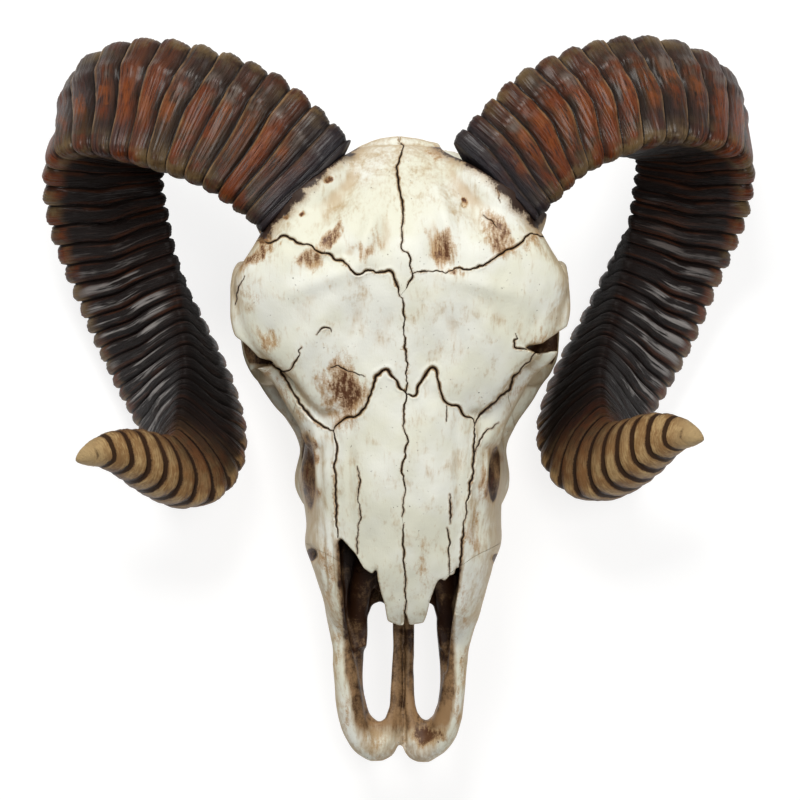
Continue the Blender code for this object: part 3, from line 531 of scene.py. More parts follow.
# %% Stations of the roof and of the core below it
ROOF = (
    (109.0, 20.0, -27.0, -36.0, -50.0, 2.4, 2.0, 16.0),
    (100.0, 32.0, -15.0, -27.0, -52.0, 2.4, 2.2, 24.0),
    (90.0, 44.0, -5.5, -20.0, -52.0, 2.4, 2.2, 34.0),
    (80.0, 56.0, 1.0, -16.0, -48.0, 2.4, 2.2, 44.0),
    (70.0, 63.0, 5.5, -14.0, -31.0, 2.5, 2.2, 48.0),
    (60.0, 69.0, 8.0, -13.0, -25.0, 2.6, 2.2, 52.0),
    (50.0, 74.0, 8.0, -14.0, -24.0, 2.6, 2.2, 56.0),
    (40.0, 73.0, 7.0, -15.0, -24.0, 2.6, 2.2, 56.0),
    (30.0, 71.5, 5.0, -16.0, -24.0, 2.6, 2.2, 54.0),
    (20.0, 67.0, 3.0, -15.0, -25.0, 2.5, 2.2, 50.0),
    (12.0, 57.0, 1.4, -13.0, -26.0, 2.4, 2.2, 44.0),
    (2.0, 46.0, -0.6, -14.0, -30.0, 2.4, 2.2, 38.0),
    (-8.0, 38.0, -4.0, -16.0, -34.0, 2.4, 2.2, 34.0))
CORE = (
    (60.0, 30.0, 0.0, -45.0, -90.0, 2.2, 2.2, 16.0),
    (40.0, 24.0, 0.0, -45.0, -90.0, 2.2, 2.2, 12.0),
    (20.0, 26.0, 0.0, -45.0, -90.0, 2.2, 2.2, 14.0),
    (8.0, 37.0, 0.0, -46.0, -94.0, 2.3, 4.0, 38.0),
    (-4.0, 44.5, -0.8, -48.0, -94.0, 2.4, 4.5, 40.0),
    (-18.0, 43.5, -1.8, -50.0, -91.0, 2.5, 4.5, 39.0),
    (-30.0, 45.0, -3.0, -54.0, -88.0, 2.5, 4.5, 37.0),
    (-38.0, 46.5, -4.0, -57.0, -86.0, 2.5, 4.5, 36.0),
    (-48.0, 45.0, -5.5, -57.0, -83.0, 2.5, 4.5, 35.0),
    (-58.0, 44.0, -8.0, -54.0, -79.0, 2.5, 4.0, 34.0),
    (-68.0, 43.5, -11.0, -50.0, -75.0, 2.5, 3.4, 31.0),
    (-78.0, 40.0, -14.0, -46.0, -70.0, 2.6, 2.8, 26.0),
    (-88.0, 37.3, -18.5, -44.0, -66.0, 2.6, 2.4, 23.0),
    (-98.0, 34.5, -24.0, -46.0, -63.0, 2.6, 2.4, 22.0),
    (-107.0, 30.5, -32.0, -50.0, -61.0, 2.4, 2.4, 21.0),
    (-114.0, 27.0, -40.0, -52.0, -60.0, 2.2, 2.2, 20.0))

# %% [markdown]
# ## Bars of bone
# The rims of the eye sockets, the cheek arches and the front bones are all bars with a round
# section. Listing them by side keeps left and right alike, as they are in life. The rim closes
# on itself, so its first station is repeated at the end.

# %% Stations of the bars: x, y, z, radius, on the right side
SIDE_BARS = {
    "orbit_rim": ((57.5, 10.5, -26.0, 4.4), (66.0, 18.0, -17.0, 4.5), (70.5, 31.0, -15.5, 5.0),
                  (71.0, 43.0, -19.0, 5.0), (71.0, 52.0, -29.0, 4.6), (71.0, 54.0, -42.0, 4.2),
                  (70.5, 47.0, -56.0, 4.4), (69.5, 33.0, -61.5, 4.8), (67.0, 17.0, -59.0, 5.0),
                  (62.5, 9.0, -50.0, 5.0), (58.0, 7.5, -38.0, 4.6), (57.5, 10.5, -26.0, 4.4)),
    "cheek_arch": ((69.5, 36.0, -62.0, 5.0), (68.0, 52.0, -64.0, 4.0), (60.0, 66.0, -66.0, 4.4),
                   (46.0, 74.0, -68.0, 6.0), (31.0, 77.0, -70.0, 7.0)),
    "cheek_bone": ((66.5, 16.0, -58.0, 5.5), (54.5, 2.0, -55.0, 7.5), (44.0, -9.0, -56.0, 9.0),
                   (38.5, -24.0, -60.0, 8.0), (39.0, -40.0, -62.0, 9.5),
                   (37.0, -50.0, -62.0, 8.0)),
    "tear_bone": ((55.0, 10.0, -28.0, 6.0), (45.5, 2.0, -27.0, 10.0), (36.0, -8.0, -26.0, 12.0),
                  (31.0, -20.0, -26.0, 12.0)),
    "ear_tube": ((30.0, 70.0, -80.0, 7.0), (43.0, 72.0, -76.0, 5.0)),
    "spur": ((27.0, 88.0, -80.0, 9.0), (29.0, 87.0, -98.0, 5.5), (27.0, 83.0, -112.0, 2.5)),
    "wing": ((12.0, 44.0, -86.0, 5.0), (14.0, 28.0, -94.0, 4.0), (15.0, 14.0, -98.0, 3.5),
             (17.0, 4.0, -96.0, 4.0)),
    "gum_ridge": ((27.0, -74.0, -76.0, 6.0), (30.0, -50.0, -80.0, 9.0),
                  (33.0, -20.0, -88.0, 10.5), (33.0, 6.0, -92.0, 9.5)),
    "front_blade": ((32.0, -60.0, -28.0, 2.4), (33.6, -78.0, -34.0, 3.8),
                    (31.0, -94.0, -41.0, 4.8), (25.8, -112.0, -46.0, 5.2),
                    (23.8, -130.0, -49.0, 5.8), (21.6, -146.0, -52.0, 6.2),
                    (17.0, -156.0, -54.0, 6.2), (9.5, -162.5, -56.0, 5.0)),
    "front_side": ((27.0, -86.0, -60.0, 8.0), (25.0, -100.0, -58.0, 7.6),
                   (23.2, -115.0, -57.0, 6.8), (22.4, -134.0, -57.0, 6.2),
                   (18.5, -151.0, -58.0, 6.6), (10.5, -161.0, -58.0, 5.0)),
    "inner_bar": ((3.4, -84.0, -60.0, 3.6), (3.2, -112.0, -59.0, 3.0), (3.4, -138.0, -58.0, 3.4),
                  (4.8, -149.0, -57.0, 4.6), (6.6, -157.5, -57.0, 5.6)),
}
MIDDLE_BARS = {
    "base": ((0.0, 98.0, -92.0, 10.0), (0.0, 78.0, -95.0, 11.0), (0.0, 50.0, -93.0, 10.0),
             (0.0, 20.0, -84.0, 9.0)),
    "nape_ridge": ((-38.0, 84.0, -62.0, 4.0), (-27.0, 101.0, -50.0, 5.0),
                   (0.0, 108.0, -45.0, 6.0), (27.0, 101.0, -50.0, 5.0),
                   (38.0, 84.0, -62.0, 4.0)),
}

# %% [markdown]
# ## Cheek teeth
# A ram has six cheek teeth on each side of the upper jaw, small in front and large behind. The
# three molars have two lobes each with crescent ridges on the chewing face. Each tooth is a
# short column whose outline is pinched between the lobes.

# %% Teeth
TOOTH_LENGTHS = (8.0, 10.0, 11.0, 14.0, 16.0, 18.0)
TOOTH_RINGS = ((0.0, 0.70), (0.0, 0.86), (1.2, 0.95), (4.0, 1.0), (12.0, 1.0), (22.0, 1.0))
TOOTH_GAP = 0.6
BITE_FRONT_Y = -70.0
BITE_FRONT_Z = -99.0
BITE_SLOPE = -0.16


def tooth(side, number, y, length):
    """One cheek tooth with its chewing face on the biting plane."""
    lobes = 1 if number < 3 else 2
    width = 8.0 + 1.6 * number
    x = 27.0 + 1.6 * number - 0.16 * number ** 2
    middle = y + length / 2
    low = BITE_FRONT_Z + BITE_SLOPE * (middle - BITE_FRONT_Y)
    angles = np.linspace(0, 2 * math.pi, 48, endpoint=False)
    squared = (np.abs(np.cos(angles)) ** 4 + np.abs(np.sin(angles)) ** 4) ** -0.25
    pinch = 1 - 0.13 * (lobes - 1) * np.exp(-(np.sin(angles) * squared / 0.22) ** 2)
    rings = []
    for up, grow in TOOTH_RINGS:
        across = grow * width / 2 * squared * np.cos(angles) * pinch
        ahead = grow * (length - TOOTH_GAP) / 2 * squared * np.sin(angles)
        ridge = 0.9 * np.abs(np.sin(lobes * np.pi * ahead / length)) if up == 0.0 else 0.0
        rings.append(np.stack([side * x + across, middle + ahead,
                               low + up + ridge * (grow < 0.8) + 0 * angles], axis=-1))
    return rolled("tooth", rings)


def tooth_row(side):
    """The six cheek teeth of one side, from front to back."""
    starts = BITE_FRONT_Y + np.cumsum((0.0, *TOOTH_LENGTHS[:-1]))
    return [tooth(side, i, y, length)
            for i, (y, length) in enumerate(zip(starts, TOOTH_LENGTHS))]

# %% [markdown]
# ## One lump of bone
# Voxel remesh turns the overlapping masses into one even skin, which hides every joint. It needs
# closed pieces, and its grid size sets the finest shape that stays. A coarser grid first lets
# the smoothing melt the masses together, as flesh-side bone really is.

# %% Gather the masses
def skull_masses():
    """Every mass of the skull, in overlap with its neighbours."""
    pieces = [shell("roof", ROOF), shell("core", CORE)]
    pieces.append(ball("braincase", (0.0, 62.0, -54.0), (38.0, 42.0, 42.0)))
    pieces.append(ball("nape", (0.0, 84.0, -58.0), (34.0, 25.0, 34.0)))
    pieces += [bar(name, stations) for name, stations in MIDDLE_BARS.items()]
    for side in (-1.0, 1.0):
        pieces += [bar(name, sided(side, stations)) for name, stations in SIDE_BARS.items()]
        pieces.append(ball("horn_seat", (side * 40.0, 83.0, -27.0), (27.0, 25.0, 24.0),
                           (0.0, 0.0, -side * 40.0)))
        pieces.append(ball("condyle", (side * 13.0, 97.0, -94.0), (9.0, 11.0, 11.0),
                           (20.0, 0.0, side * 25.0)))
        pieces.append(ball("socket_floor", (side * 54.0, 21.0, -64.0), (15.0, 14.0, 5.0)))
        pieces.append(ball("ear_bubble", (side * 23.0, 64.0, -98.0), (8.0, 12.0, 9.0)))
        pieces.append(ball("front_plate", (side * 10.2, -156.0, -57.0), (10.0, 10.4, 5.0)))
        pieces += tooth_row(side)
    return pieces

# %% Fuse the masses
MASS_GRID = 1.2


def fused(obj, grid, rounds):
    """Turn overlapping masses into one skin and smooth it for some rounds."""
    modified(obj, "REMESH", mode="VOXEL", voxel_size=grid, adaptivity=0.0)
    return modified(obj, "SMOOTH", factor=0.5, iterations=rounds)


skull = fused(joined("skull", skull_masses()), MASS_GRID, 8)
spots = points_of(skull)
# the right brow is a little narrower, and the nose leans a little to the left
narrower = 1 - 0.035 * soft_step(-25.0, 5.0, spots[:, 1]) * (spots[:, 0] > 0)
spots[:, 0] = spots[:, 0] * narrower - 1.3 * soft_step(-95.0, -125.0, spots[:, 1])
set_points(skull, spots)
print("skull of", triangles_in(skull), "triangles")

# %% [markdown]
# ## Openings
# The eye sockets, the nose and the slots in the palate are carved out with simple cutters. The
# nose bones end in a split point that juts over the opening, so the bone beside that point is
# taken away in plan, and the hollow below is a shell of its own.

# %% Outlines of the openings
NASAL_TIP = {
    -1.0: ((-29.0, -63.0), (-26.6, -64.8), (-21.4, -71.2), (-17.1, -77.7), (-13.1, -80.1),
           (-11.7, -74.0), (-10.8, -82.0), (-8.2, -92.5), (-6.6, -101.2), (-2.0, -102.6)),
    1.0: ((25.2, -72.0), (22.4, -80.5), (20.6, -80.3), (18.2, -83.2), (16.3, -81.4),
          (14.2, -85.0), (11.7, -92.5), (10.4, -98.4), (9.2, -101.8), (2.5, -102.8)),
}
NOSE_EDGE = {
    -1.0: ((-3.0, -125.0), (-20.0, -125.0), (-26.0, -100.0), (-27.8, -74.0), (-28.4, -65.0)),
    1.0: ((3.0, -125.0), (19.0, -125.0), (23.5, -95.0), (24.2, -86.0), (24.8, -79.0)),
}
PALATE_SLOT = ((10.2, -93.8), (13.6, -95.4), (15.6, -101.0), (16.2, -114.0), (16.4, -130.0),
               (15.8, -140.0), (14.2, -145.6), (10.9, -148.2), (7.9, -146.6), (5.9, -141.0),
               (4.9, -130.0), (4.7, -103.0), (6.6, -95.8))
EYE_GAP = {
    -1.0: ((-76.0, 26.5), (-70.3, 21.7), (-63.5, 14.9), (-57.5, 13.6), (-56.6, 12.2),
           (-63.0, 10.8), (-69.0, 10.2), (-76.0, 10.0)),
    1.0: ((76.0, 31.5), (69.5, 27.0), (60.5, 21.4), (54.0, 20.6), (53.0, 18.9),
          (59.0, 16.6), (68.5, 18.4), (76.0, 19.0)),
}
ROOT_LINE = {-1.0: ((-22.0, 107.4), (-66.0, 73.0)), 1.0: ((18.0, 106.8), (63.5, 78.4))}
SCROLLS = (
    ((13.0, -58.0, -34.0, 5.0), (17.0, -78.0, -41.0, 5.4), (19.8, -96.0, -50.0, 4.6),
     (20.6, -112.0, -55.0, 3.4)),
    ((6.0, -58.0, -30.0, 3.0), (8.0, -76.0, -38.0, 3.0), (9.5, -88.0, -48.0, 3.0)))
NOSE_HOLLOW = (
    (-46.0, 12.0, -20.0, -36.0, -50.0), (-57.0, 22.0, -13.5, -34.0, -54.0),
    (-72.0, 25.5, -17.0, -36.0, -55.0), (-90.0, 24.0, -24.5, -38.0, -55.0),
    (-103.0, 20.5, -29.5, -40.0, -56.6), (-112.0, 18.5, -26.0, -40.0, -57.2),
    (-128.0, 15.5, -20.0, -38.0, -53.0), (-142.0, 12.0, -22.0, -38.0, -53.0))

# %% Carve the openings
for side in (-1.0, 1.0):
    cut(skull, ball("socket", (side * 60.0, 31.0, -38.0), (36.0, 20.0, 19.5),
                    (0.0, 0.0, side * 8.0)))
    cut(skull, ball("temple", (side * 55.0, 64.0, -50.0), (15.0, 9.0, 15.0)))
    cut(skull, slab("palate_slot", [(side * x, y) for x, y in PALATE_SLOT], -110.0, -30.0))
    cut(skull, slab("nose_notch", [*NASAL_TIP[side], *NOSE_EDGE[side]], -50.0, 20.0))
cut(skull, shell("nose_hollow", [(*row, 4.0, 2.4, 0.7 * row[1]) for row in NOSE_HOLLOW]))
cut(skull, slab("front_of_nose", [(-40.0, -103.0), (40.0, -103.0), (40.0, -120.0),
                                  (-40.0, -120.0)], -34.0, 0.0))
cut(skull, slab("tip_gap", [(0.8, -84.0), (0.2, -105.0), (2.9, -105.0)], -40.0, 0.0))
cut(skull, ball("spinal_opening", (0.0, 100.0, -80.0), (9.0, 16.0, 9.0)))
cut(skull, ball("palate_arch", (0.0, -28.0, -100.0), (17.0, 62.0, 14.0), (-14.0, 0.0, 0.0)))
cut(skull, ball("throat", (0.0, 18.0, -102.0), (9.0, 20.0, 17.0)))
for side in (-1.0, 1.0):
    cut(skull, slab("eye_gap", EYE_GAP[side], -52.0, 20.0))
    (ax, ay), (bx, by) = ROOT_LINE[side]
    out_x, out_y = 50 * side, 50.0
    cut(skull, slab("horn_side", [
        (ax, ay), (bx, by), (bx * 1.12, by - 4.0), (bx + out_x, by - 4.0 + out_y),
        (ax + out_x * 0.4, ay + out_y), (ax * 0.86, ay + 5.0)], -51.0, 30.0))
skull = joined("skull", [skull] + [bar("scroll", sided(side, stations))
                                   for side in (-1.0, 1.0) for stations in SCROLLS])
fused(skull, BONE_GRID, 3)
print("carved skull of", triangles_in(skull), "triangles")

# %% [markdown]
# ## Dents, pits and swellings
# Pulling with a soft brush is the quickest way to give bone its small forms: the deep hollow
# above each tooth row, the nerve holes in the cheeks, small pits by the horns. Each stroke here
# is one soft oval push along the surface normal, on the side of the bone that faces up or out.

# %% Brush strokes: x, y, half width, half length, turn in degrees, depth (below 0 swells)
STROKES = (
    (-32.5, 93.5, 1.2, 1.2, 0.0, 2.2), (27.0, 83.5, 1.1, 1.1, 0.0, 2.0),
    (-51.0, 77.0, 0.9, 0.9, 0.0, 1.3), (-43.5, 78.0, 0.8, 0.8, 0.0, 1.2),
    (-59.5, 67.5, 1.3, 1.3, 0.0, 2.2), (-44.0, 32.0, 6.0, 11.0, -25.0, 1.0),
    (-31.5, 67.5, 2.5, 7.0, -42.0, 0.6), (-40.5, 58.0, 5.0, 4.0, 0.0, 0.7),
    (44.0, 32.0, 6.0, 11.0, 25.0, 0.9), (16.5, 61.5, 4.5, 7.0, 20.0, 0.7),
    (-42.0, -35.0, 2.6, 13.0, 3.0, 4.2), (-37.4, -35.0, 1.5, 15.0, 3.0, -0.9),
    (40.5, -36.0, 2.2, 10.0, -3.0, 3.2), (36.6, -36.0, 1.4, 12.0, -3.0, -0.7),
    (32.5, -60.0, 2.6, 8.5, 4.0, 1.1), (-40.5, -72.0, 2.2, 2.8, 0.0, 4.5),
    (41.5, -74.0, 1.8, 2.2, 0.0, 3.5), (-34.2, -78.0, 0.8, 13.0, 2.0, 1.1),
    (-31.0, -76.0, 0.7, 13.0, 2.0, 0.9), (-26.0, 2.0, 7.0, 13.0, 8.0, 0.5),
    (8.5, -74.0, 3.0, 12.0, 0.0, 0.5), (11.5, -153.5, 5.0, 4.0, 0.0, 1.2),
    (-11.5, -153.5, 5.0, 4.0, 0.0, 0.8), (-58.0, 25.0, 4.0, 6.0, 15.0, 0.9),
    (58.0, 31.0, 4.0, 6.0, -15.0, 0.8),
    (0.0, -126.0, 0.9, 26.0, 0.0, 2.6), (0.0, -156.0, 0.9, 9.0, 0.0, 2.4),
    (-20.0, 33.0, 4.5, 15.0, -20.0, 1.4), (20.0, 31.0, 4.5, 15.0, 20.0, 1.3),
    (-36.0, 31.0, 4.0, 13.0, -25.0, -0.9), (36.0, 29.0, 4.0, 13.0, 25.0, -0.8),
    (-31.0, 80.0, 6.0, 20.0, -38.0, 2.6), (29.0, 82.0, 6.0, 20.0, 38.0, 2.6),
    (-16.0, 66.0, 4.0, 16.0, -20.0, -1.8), (19.0, 74.0, 3.5, 16.0, 14.0, -1.6),
    (-11.0, 24.0, 8.0, 14.0, 0.0, 1.8), (12.0, 16.0, 8.0, 12.0, 0.0, 1.1),
    (-40.0, -2.0, 3.0, 14.0, 35.0, -0.9), (42.0, 2.0, 3.0, 14.0, -35.0, -0.9),
    (-33.5, -40.0, 2.0, 22.0, 0.0, -0.8), (34.0, -58.0, 2.4, 14.0, 4.0, 0.9),
    (13.5, 62.0, 4.5, 12.0, 8.0, 1.6), (-7.0, 64.0, 4.0, 12.0, 10.0, 1.0),
    (-33.0, 49.0, 18.0, 4.0, 20.0, -1.6), (31.0, 47.0, 20.0, 4.0, -14.0, -1.3),
    (-30.0, 58.0, 14.0, 3.5, 18.0, 1.4), (-13.0, -40.0, 7.0, 30.0, 0.0, -0.9),
    (12.5, -40.0, 7.0, 30.0, 0.0, -0.9), (-23.0, -36.0, 2.2, 26.0, 0.0, 0.7),
    (24.0, -40.0, 2.2, 24.0, 0.0, 0.7))

# %% Push the strokes in
def oval(x, y, stroke):
    """Distance from the middle of an oval, 1 on its edge."""
    turn = math.radians(stroke[4])
    dx, dy = x - stroke[0], y - stroke[1]
    across = dx * math.cos(turn) + dy * math.sin(turn)
    ahead = dy * math.cos(turn) - dx * math.sin(turn)
    return np.hypot(across / stroke[2], ahead / stroke[3])


spots, facing = points_of(skull), normals_of(skull)
push = np.zeros(len(spots))
for stroke in STROKES:
    push += stroke[5] * np.exp(-oval(spots[:, 0], spots[:, 1], stroke) ** 2)
push *= soft_step(0.0, 0.3, facing[:, 2]) * soft_step(-66.0, -60.0, spots[:, 2])
uneven = 0.45 * ripple(61, spots[:, 0] / 7, spots[:, 1] / 9, spots[:, 2] / 7)
uneven = uneven + 0.14 * ripple(62, spots[:, 0] / 2.4, spots[:, 1] / 3.2, spots[:, 2] / 2.4)
set_points(skull, spots - facing * (push - uneven)[:, None])
print("strokes", len(STROKES))

# %% [markdown]
# ## A coarse copy
# The paint asks later how much sky each spot sees. Rays against the fine mesh would be slow, so
# a thinned copy is turned into a tree of its faces, which answers where a ray hits, and is then
# thrown away.

# %% Tree of a coarse copy
COARSE_TRIANGLES = 60000
coarse = skull.copy()
coarse.data = skull.data.copy()
bpy.context.scene.collection.objects.link(coarse)
modified(coarse, "DECIMATE", ratio=COARSE_TRIANGLES / triangles_in(coarse))
shade_tree = BVHTree.FromPolygons([v.co[:] for v in coarse.data.vertices],
                                  [p.vertices[:] for p in coarse.data.polygons])
print("coarse copy of", triangles_in(coarse), "triangles")
bpy.data.objects.remove(coarse)

# %% [markdown]
# ## Sutures and cracks
# The bones of a skull meet in sutures, wandering dark lines, and old bone splits along its
# grain. Each line is a short list of turning points, its width and its depth. The points are
# joined by a smooth curve, shaken a little so that it looks grown, and given a width that
# comes and goes. A tree of these fine points then answers how near any spot is to a line.

# %% Crack lines: width, depth, points from one end to the other
CRACKS = {
    "crown": (1.17, 1.23, (
        (0.0, 124.0), (-1.5, 112.0), (0.0, 107.5), (-2.5, 97.0), (-1.0, 85.5), (0.0, 79.0),
        (-0.5, 64.0), (2.2, 60.0), (3.5, 53.5), (4.0, 51.0), (3.0, 48.0), (1.5, 44.8))),
    "forehead": (1.17, 1.42, (
        (-1.4, 41.5), (0.2, 38.5), (0.5, 23.5), (1.5, 13.5), (1.5, 7.0), (1.5, -1.0))),
    "nose_middle": (1.01, 1.33, (
        (1.5, -1.0), (1.0, -4.5), (0.3, -15.5), (1.8, -20.0), (1.5, -24.0), (-0.5, -34.0),
        (0.6, -38.0), (0.5, -46.5), (-0.5, -54.5))),
    "nose_tip": (0.94, 1.33, (
        (0.2, -58.0), (0.2, -66.0), (0.7, -76.0), (1.0, -84.5), (1.2, -104.0))),
    "coronal_left": (1.4, 1.52, (
        (-64.0, 66.0), (-61.5, 66.5), (-58.5, 65.0), (-52.0, 67.8), (-48.5, 66.5), (-46.0, 64.4),
        (-40.5, 64.2), (-36.0, 60.0), (-32.5, 60.3), (-29.7, 57.0), (-26.0, 57.0), (-21.5, 52.0),
        (-18.5, 51.0), (-13.5, 52.4), (-11.5, 51.7), (-5.0, 52.2), (-2.8, 46.0), (-1.4, 41.5))),
    "coronal_right": (1.17, 1.33, (
        (4.0, 51.0), (6.5, 52.0), (15.5, 52.5), (18.5, 51.5), (24.0, 54.0), (28.5, 53.0),
        (36.0, 55.5), (41.5, 59.0), (45.5, 61.5), (48.0, 62.5), (51.5, 65.5), (55.5, 69.0),
        (62.5, 67.5), (66.0, 67.0))),
    "nose_root_left": (1.48, 1.71, (
        (-30.5, -17.0), (-29.0, -14.5), (-25.0, -11.5), (-21.0, -11.0), (-17.5, -8.0),
        (-15.0, -2.0), (-12.5, 4.5), (-11.0, 7.5), (-8.0, 9.5), (-5.0, 7.5), (-1.5, 2.0),
        (1.5, -1.0))),
    "nose_root_right": (1.48, 1.71, (
        (1.5, -1.0), (5.0, -1.0), (8.0, 4.5), (11.5, 10.0), (14.0, 9.5), (16.0, 2.0),
        (18.5, -4.5), (24.0, -6.0), (26.5, -10.0), (30.0, -11.5), (31.5, -14.0))),
    "tear_left": (1.4, 1.52, (
        (-30.5, -17.0), (-33.0, -16.0), (-37.0, -14.0), (-41.0, -10.0), (-45.5, -4.5),
        (-50.0, 3.0), (-54.0, 9.5), (-58.0, 12.5), (-62.0, 13.5))),
    "tear_left_branch": (1.17, 1.42, (
        (-54.0, 9.5), (-51.0, 9.0), (-49.0, 10.5), (-45.5, 15.0), (-45.3, 18.0), (-44.0, 19.5))),
    "tear_right": (1.25, 1.42, (
        (31.5, -14.0), (34.5, -9.0), (38.5, -6.0), (43.5, -1.5), (47.0, 2.0), (49.0, 7.0),
        (54.5, 13.0), (58.0, 17.0), (62.0, 19.0))),
    "tear_right_fork": (1.09, 1.23, (
        (49.0, 25.5), (50.0, 23.0), (48.5, 22.0), (49.0, 19.5), (54.0, 18.5))),
    "cheek_right": (0.62, 0.76, (
        (31.5, -26.5), (36.0, -17.5), (38.5, -16.0), (42.0, -13.5))),
    "nose_side_left": (1.01, 1.23, (
        (-30.5, -17.0), (-29.0, -22.5), (-29.0, -28.5), (-30.3, -32.5), (-29.5, -35.5),
        (-29.5, -47.0), (-29.0, -58.0), (-28.6, -64.0))),
    "nose_side_right": (1.01, 1.23, (
        (31.5, -14.0), (31.2, -22.5), (31.0, -27.0), (30.5, -34.5), (29.0, -43.5), (27.0, -58.0),
        (25.4, -72.0), (24.0, -80.0))),
    "nasal_split_left": (0.86, 1.14, (
        (-20.0, -32.5), (-19.0, -37.0), (-19.5, -46.5), (-18.5, -54.0), (-19.5, -60.0),
        (-20.0, -71.0))),
    "nasal_split_right": (0.94, 1.23, (
        (20.5, -44.5), (21.0, -51.0), (20.7, -57.5))),
    "nasal_split_tip": (0.86, 1.23, (
        (19.3, -59.5), (20.4, -65.0), (20.2, -74.0), (20.6, -81.0))),
    "arc": (0.78, 0.95, (
        (-37.5, 25.0), (-35.0, 27.5), (-32.0, 28.2), (-31.0, 26.0))),
    "stain_crack": (0.94, 1.04, (
        (-31.5, 10.5), (-28.0, 11.5), (-23.5, 8.7), (-16.5, 6.6))),
    "side_crack": (0.7, 0.76, (
        (-69.0, 50.5), (-72.0, 44.5), (-73.5, 38.0))),
    "spur_crack": (0.86, 0.95, (
        (19.0, -6.0), (19.0, -13.0))),
    "thin_crack": (0.55, 0.57, (
        (41.0, 89.0), (42.5, 82.5))),
    "dark_crack": (0.78, 0.85, (
        (35.0, 77.0), (38.5, 74.5), (41.0, 71.5))),
    "palate_seam": (1.25, 0.6, (
        (0.5, -104.0), (0.0, -117.0), (0.4, -131.0), (-0.1, -146.0), (0.3, -163.0))),
}

# %% Grow the lines
LINE_STEP = 0.25
LINE_SEED = 100


def grown(number, points):
    """Fine points of a line with small wanderings, how far along each is, and its length."""
    seed = LINE_SEED + 3 * number
    path = curve_through(points, 12)
    run = np.concatenate([[0.0], np.cumsum(np.linalg.norm(np.diff(path, axis=0), axis=1))])
    at = np.arange(0.0, run[-1], LINE_STEP)
    fine = np.stack([np.interp(at, run, path[:, i]) for i in (0, 1)], axis=1)
    aside = np.gradient(fine, axis=0)[:, ::-1] * (-1.0, 1.0)
    aside /= np.linalg.norm(aside, axis=1)[:, None]
    still = soft_step(0.0, 2.0, at) * soft_step(0.0, 2.0, run[-1] - at)
    sway = 0.32 * ripple(seed, at / 1.5) + 0.22 * ripple(seed + 1, at / 0.7)
    return fine + aside * (still * sway)[:, None], at, run[-1]


def tree_of(points):
    """Search tree that tells which of the points lies nearest to a spot."""
    tree = KDTree(len(points))
    for i, point in enumerate(points):
        tree.insert(point, i)
    tree.balance()
    return tree


line_points = []
for number, (width, depth, points) in enumerate(CRACKS.values()):
    fine, at, total = grown(number, points)
    ends = 0.35 + 0.65 * soft_step(0.0, 5.0, at) * soft_step(0.0, 5.0, total - at)
    uneven = np.clip(1.0 + 0.55 * ripple(300 + number, at / 4.0)
                     + 0.35 * ripple(400 + number, at / 1.3), 0.35, 1.7)
    for (x, y), share in zip(fine, ends * uneven):
        line_points.append((x, y, width * share, depth * min(1.0, share)))
line_tree = tree_of([(x, y, 0.0) for x, y, *_ in line_points])
LINE_SIZES = np.array(line_points)[:, 2:]
print(len(CRACKS), "lines,", len(line_points), "points")

# %% [markdown]
# ## Grooves
# A painted line would look flat, so each line is a real groove with a slightly raised lip. The
# faces near the lines are subdivided first, because a groove 1 mm wide needs finer faces than
# the plain bone does. Only the outer side of the roof is grooved: walls and undersides of the
# bone face away from the lines' plane and are left alone.

# %% Find the lines again
def line_nearness(points, facing):
    """Distance to the nearest line in the plane, and that line's width and depth there."""
    far = np.full(len(points), 99.0)
    sizes = np.ones((len(points), 2))
    for i in np.nonzero(facing > 0.15)[0]:
        x, y, _ = points[i]
        _, spot, distance = line_tree.find((x, y, 0.0))
        far[i] = distance
        sizes[i] = LINE_SIZES[spot]
    return far, sizes[:, 0], sizes[:, 1]


def subdivided_near(obj, reach):
    """Halve the edges of the faces within reach of a line."""
    far, _, _ = line_nearness(points_of(obj), normals_of(obj)[:, 2])
    corner = np.empty(len(obj.data.loops), np.int32)
    obj.data.loops.foreach_get("vertex_index", corner)
    starts = np.empty(len(obj.data.polygons), np.int32)
    obj.data.polygons.foreach_get("loop_start", starts)
    near = np.minimum.reduceat(far[corner], starts) < reach
    only(obj)
    bpy.ops.object.mode_set(mode="EDIT")
    bpy.ops.mesh.select_mode(type="FACE")
    bpy.ops.mesh.select_all(action="DESELECT")
    bpy.ops.object.mode_set(mode="OBJECT")
    obj.data.polygons.foreach_set("select", near)
    bpy.ops.object.mode_set(mode="EDIT")
    bpy.ops.mesh.subdivide(number_cuts=1, smoothness=0.0)
    bpy.ops.mesh.select_mode(type="VERT")
    bpy.ops.object.mode_set(mode="OBJECT")

# %% Cut the grooves
subdivided_near(skull, 1.6)
spots, facing = points_of(skull), normals_of(skull)
far, width, depth = line_nearness(spots, facing[:, 2])
groove = np.exp(-(far / (0.3 * width)) ** 2)
lip = np.exp(-((far - 0.75 * width) / (0.35 * width)) ** 2)
push = facing.copy()
push[:, 2] += 1.0
push /= np.linalg.norm(push, axis=1)[:, None]
set_points(skull, spots - push * (depth * (0.85 * groove - 0.14 * lip))[:, None])
print("grooved skull of", triangles_in(skull), "triangles")

# %% [markdown]
# ## Seats of the horns
# On a live ram the horn sheath sits over a bony core. Here the horn's root is let into the
# skull, in a seat a little wider than the horn, so the two meet with a thin dark gap.

# %% Horn seats
SEAT_GAP = 0.9
SEAT_DEPTH = 110.0


def horn_seat(stations, side):
    """The horn's plain section, a little wider than the horn, from its root up."""
    angles = np.linspace(0, 2 * math.pi, 64, endpoint=False)
    at = np.linspace(ROOT_START - 0.4, SEAT_DEPTH, 60)
    centre, flank, keel, width = line_at(horn_line(stations, side), at)
    radius = section_radius(angles) * width[:, None] + SEAT_GAP
    return rolled("horn_seat", ring_points(centre, radius, angles, flank, keel))


